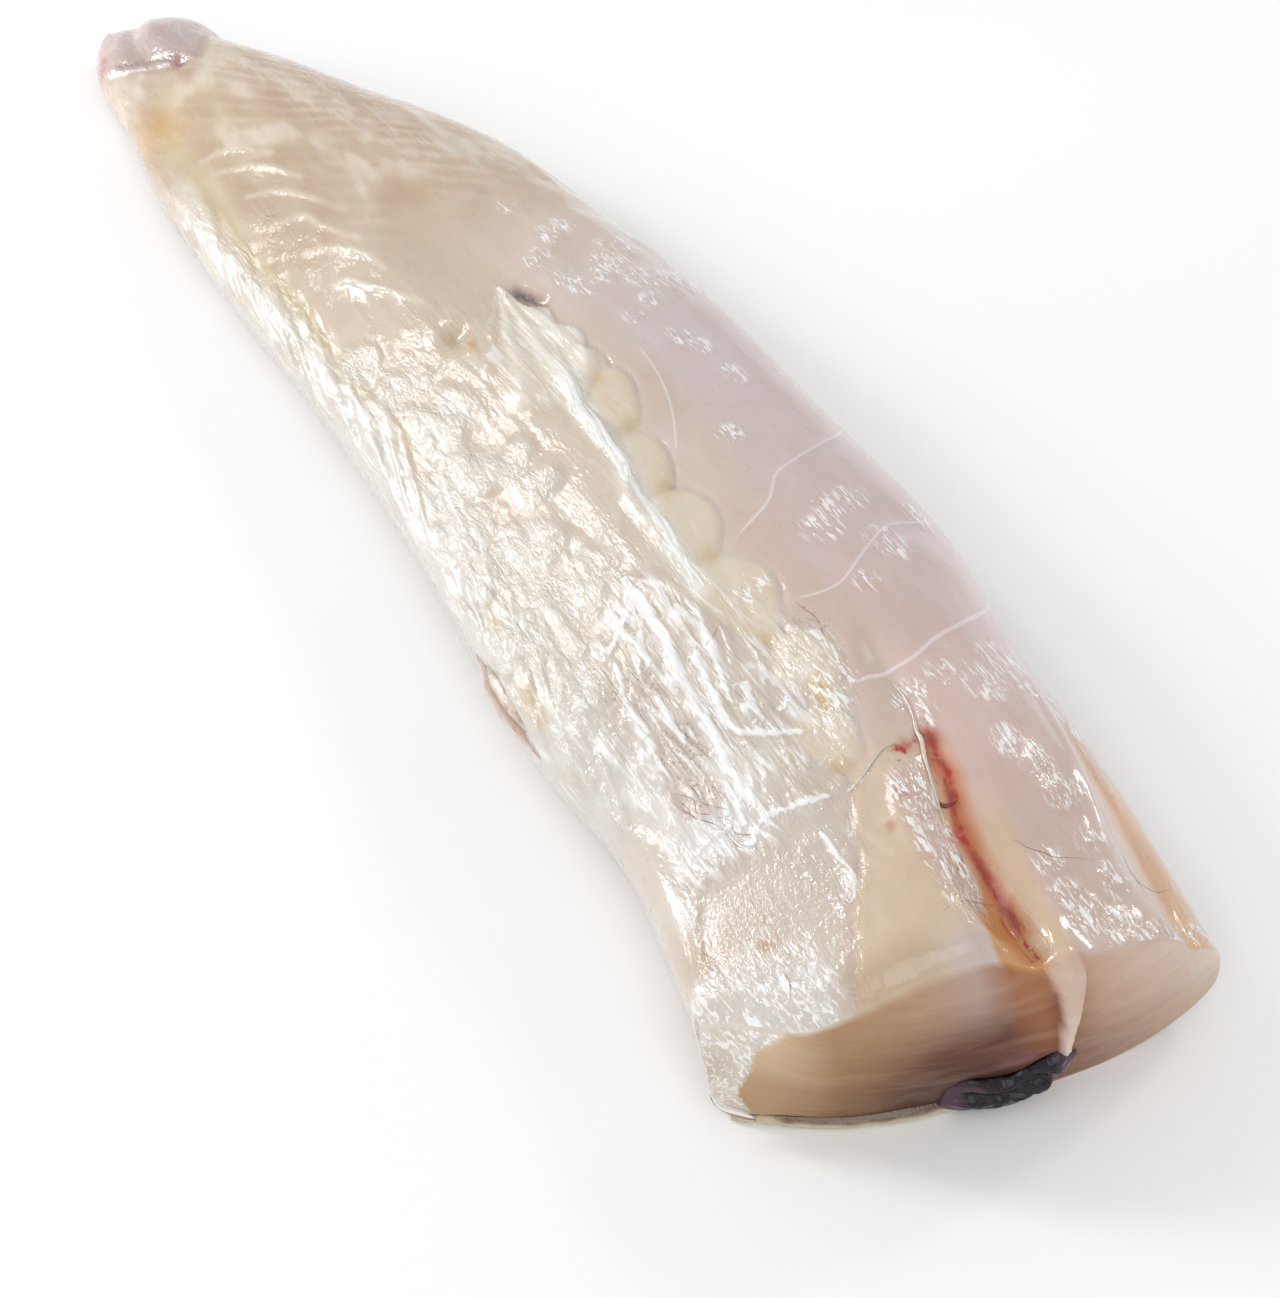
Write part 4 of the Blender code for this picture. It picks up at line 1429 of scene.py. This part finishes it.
def lip_shape():
    keys = smooth_line(LIP, LIP_GRID[0])
    share = np.linspace(0, 1, LIP_GRID[1])
    low = rim_low(keys[:, 0])
    rows = np.repeat(low[:, None], len(share), axis=1)
    rows[..., 2] = keys[:, 1:2] * (1 - share) ** 0.8 + 0.35
    slant = CUT_SLANT * (rows[..., 2] / FULL_HEIGHT) ** 1.5
    out = keys[:, 2:3] * np.sin(math.pi * (0.10 + 0.75 * share)) - 0.4
    wave = 0.35 * noise(rows.reshape(-1, 3), (5.0, 5.0, 4.0), 105).reshape(out.shape)
    rows[..., 0] += out + wave * share - slant
    return shell(rows, LIP_THICKNESS)


def edge_curl_shape():
    keys = smooth_line(EDGE_CURL, CURL_STEPS)
    centre = skin(keys[:, 0], -np.ones(len(keys)))
    centre[:, 1] += 0.4
    points, faces = tube(centre, np.tile((0, 0, 1.0), (len(keys), 1)), keys[:, 2] * 1.6,
                         keys[:, 1] * 2.2, CURL_SIDES)
    # the inside of the curl: pressed in here, and given the darker brown as painted shade
    hollow = hump(points[:, 2], centre[:, 2].mean() + 1.0, 1.1)
    hollow *= ramp(0, 1.0, np.repeat(centre[:, 1], CURL_SIDES) - points[:, 1])
    points[:, 1] += 1.0 * hollow
    points += 0.3 * fractal(points, 2.6, 106)[:, None] * (0, 1, 0.5)
    return points, faces, hollow


def curled_edge_shapes():
    """White rim of the membrane at the cut's left corner, and a dark tube under it that is painted shade
    in the crease.
    """
    across = np.linspace(-0.999, -0.86, 40)
    rim = rim_low(across) + (0.9, -0.6, 0.4)
    taper = tapered(np.linspace(0.03, 0.97, len(rim)))
    up = np.tile((0.7, 0, 0.7), (len(rim), 1))
    white = tube(rim + 0.3 * noise(rim, 3.0, 107)[:, None], up, 0.9 * taper, 0.6 * taper)
    # dark tube in the crease under the white rim: painted shade
    dark = tube(rim + (0.1, 0.2, -0.9), up, 0.8 * taper, 0.5 * taper)
    return white, dark


def add_thin_pieces(ground):
    sinew = sinew_material("sinew", (252, 250, 246), (240, 234, 224), fibre=0.6, Subsurface_Weight=0.05)
    strands = []
    for n, (width, height) in enumerate(((1.7, 0.5), (1.2, 0.4))):
        shifted = [(a, c + 0.022 * (n - 0.5)) for a, c in TENDON[n:]]
        strands.append(fibre(ground, shifted, width, height, -0.05, seed=10 + n, wander=0.5))
    piece("tendon", strands, sinew)

    wet = sinew_material("wet_ridge", (226, 210, 196), (214, 190, 176), fibre=0.3)
    ridges = [fibre(ground, WET_LINE, 0.75, 0.8, lift=0.12, seed=21),
              fibre(ground, SIDE_LINE, 0.5, 0.5, lift=0.1, seed=22)]
    piece("wet_ridge", ridges, wet)

    vein = sinew_material("vein", (174, 138, 118), (122, 90, 78), fibre=0.3, mottle=0.7,
                          Subsurface_Weight=0.05)
    piece("veins", [fibre(ground, places, 0.2, 0.14, lift=-0.02, seed=30 + n, wander=1.2)
                    for n, places in enumerate(VEINS)], vein)

    blood = sinew_material("blood", (150, 26, 16), (104, 14, 12), fibre=0.4, mottle=0.6)
    piece("clot", [fibre(ground, CLOT, 0.7, 0.5, lift=0.1, seed=51)], blood)

    patch = sinew_material("dark_patch", (3, 3, 14), (84, 54, 72), fibre=0.6, mottle=0.16,
                           Subsurface_Weight=0.0, Coat_Weight=0.6, Specular_IOR_Level=0.15)
    shape = patch_shape(ground)
    pale = 0.9 * ramp(-12.5, -16.0, shape[0][:, 1]) + ramp(0.5, 3.5, shape[0][:, 1])
    pale += 0.7 * ramp(0.25, 0.7, noise(shape[0], (4.0, 5.0, 2.4), 108))
    piece("dark_patch", [shape], patch, np.clip(pale, 0, 1))

    # the lip turns dark brown towards its upper edge, tucked under the cut: painted shade of that crease
    lip = sinew_material("lip", (210, 194, 158), (98, 68, 40), fibre=0.6, mottle=0.2,
                         Subsurface_Weight=0.15)
    shape = lip_shape()
    piece("lip", [shape], lip, ramp(1.8, 3.0, shape[0][:, 2] + 0.6 * noise(shape[0], 3.0, 109)))

    # the curl's hollow takes the darker brown: painted shade inside the curl
    curl = sinew_material("edge_curl", (222, 206, 192), (158, 124, 104), fibre=0.6, mottle=0.7)
    points, faces, hollow = edge_curl_shape()
    piece("edge_curl", [(points, faces)], curl, hollow)

    white, dark = curled_edge_shapes()
    piece("curled_edge", [white], sinew)
    piece("curled_edge_crease_shade", [dark], vein)


# ---- floor, light and camera --------------------------------------------------------------
FLOOR_SIZE = 6.0
FLOOR_STEPS = 24
FLOOR_ALBEDO = (0.98, 0.94)
WORLD_LIGHT = 0.62
LAMP_AIM = (0.0, 0.0, 0.02)
# Lamps: direction in the ground frame of the view (right, into the picture, up), distance and
# size in metres, power in watts.
LAMPS = (
    ("key", (-0.83, 0.29, 0.42), 1.2, (0.17, 0.40), 4.8),
    ("high_key", (-0.62, 0.42, 0.66), 1.2, (0.12, 0.24), 1.1),
    ("low_key", (-0.95, 0.20, 0.22), 1.2, (0.16, 0.38), 2.4),
    ("right", (0.64, 0.57, 0.51), 1.3, (0.16, 0.16), 2.0),
    ("fill", (0.10, -0.75, 0.65), 1.5, (1.2, 1.2), 6.0),
)


def in_view_frame(right, ahead, up):
    """Vector from the view's ground frame to the object's."""
    c, s = math.cos(math.radians(VIEW_AZIMUTH)), math.sin(math.radians(VIEW_AZIMUTH))
    return Vector((right * c - ahead * s, right * s + ahead * c, up))


def add_floor():
    across = FLOOR_STEPS + 1
    edge = np.linspace(-FLOOR_SIZE / 2, FLOOR_SIZE / 2, across)
    points = [(x, y, 0.0) for x in edge for y in edge]
    faces = [[n, n + across, n + across + 1, n + 1]
             for n in (r * across + c for r in range(FLOOR_STEPS) for c in range(FLOOR_STEPS))]
    mesh = bpy.data.meshes.new("floor")
    mesh.from_pydata(points, [], faces)
    made = Finish("floor", Roughness=0.65)
    cloud = made.step(made.grain((300.0, 300.0, 300.0)), 0.3, 0.7)
    bright, dull = ((albedo, albedo, albedo, 1.0) for albedo in FLOOR_ALBEDO)
    made.to_shader("Base Color", made.mix(cloud, bright, dull))
    mesh.materials.append(made.material)
    floor = bpy.data.objects.new("floor", mesh)
    bpy.context.scene.collection.objects.link(floor)


def add_lamps():
    for name, direction, distance, size, power in LAMPS:
        data = bpy.data.lights.new(name, "AREA")
        data.shape = "RECTANGLE"
        data.size, data.size_y = size
        data.energy = power
        lamp = bpy.data.objects.new(name, data)
        away = in_view_frame(*direction).normalized()
        lamp.location = Vector(LAMP_AIM) + away * distance
        lamp.rotation_euler = away.to_track_quat("Z", "Y").to_euler()
        bpy.context.scene.collection.objects.link(lamp)
    world = bpy.data.worlds.new("studio")
    world.use_nodes = True
    world.node_tree.nodes["Background"].inputs["Color"].default_value = (1.0, 1.0, 1.0, 1.0)
    world.node_tree.nodes["Background"].inputs["Strength"].default_value = WORLD_LIGHT
    bpy.context.scene.world = world


def add_camera():
    data = bpy.data.cameras.new("view")
    data.sensor_fit = "VERTICAL"
    data.sensor_height = SENSOR
    data.lens = LENS
    camera = bpy.data.objects.new("view", data)
    e = math.radians(VIEW_ELEVATION)
    away = in_view_frame(0.0, -math.cos(e), math.sin(e))
    camera.location = (Vector(VIEW_TARGET) + away * VIEW_DISTANCE) * MM
    camera.rotation_euler = away.to_track_quat("Z", "Y").to_euler()
    bpy.context.scene.collection.objects.link(camera)
    bpy.context.scene.camera = camera


def main():
    bpy.context.scene.view_settings.view_transform = "Standard"
    mesh = flesh_mesh()
    flesh = placed("fillet_flesh", mesh, skin_material(), cut_material())
    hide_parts("fillet")
    add_thin_pieces(Ground(mesh))
    add_floor()
    add_lamps()
    add_camera()
    bpy.context.view_layer.update()


main()
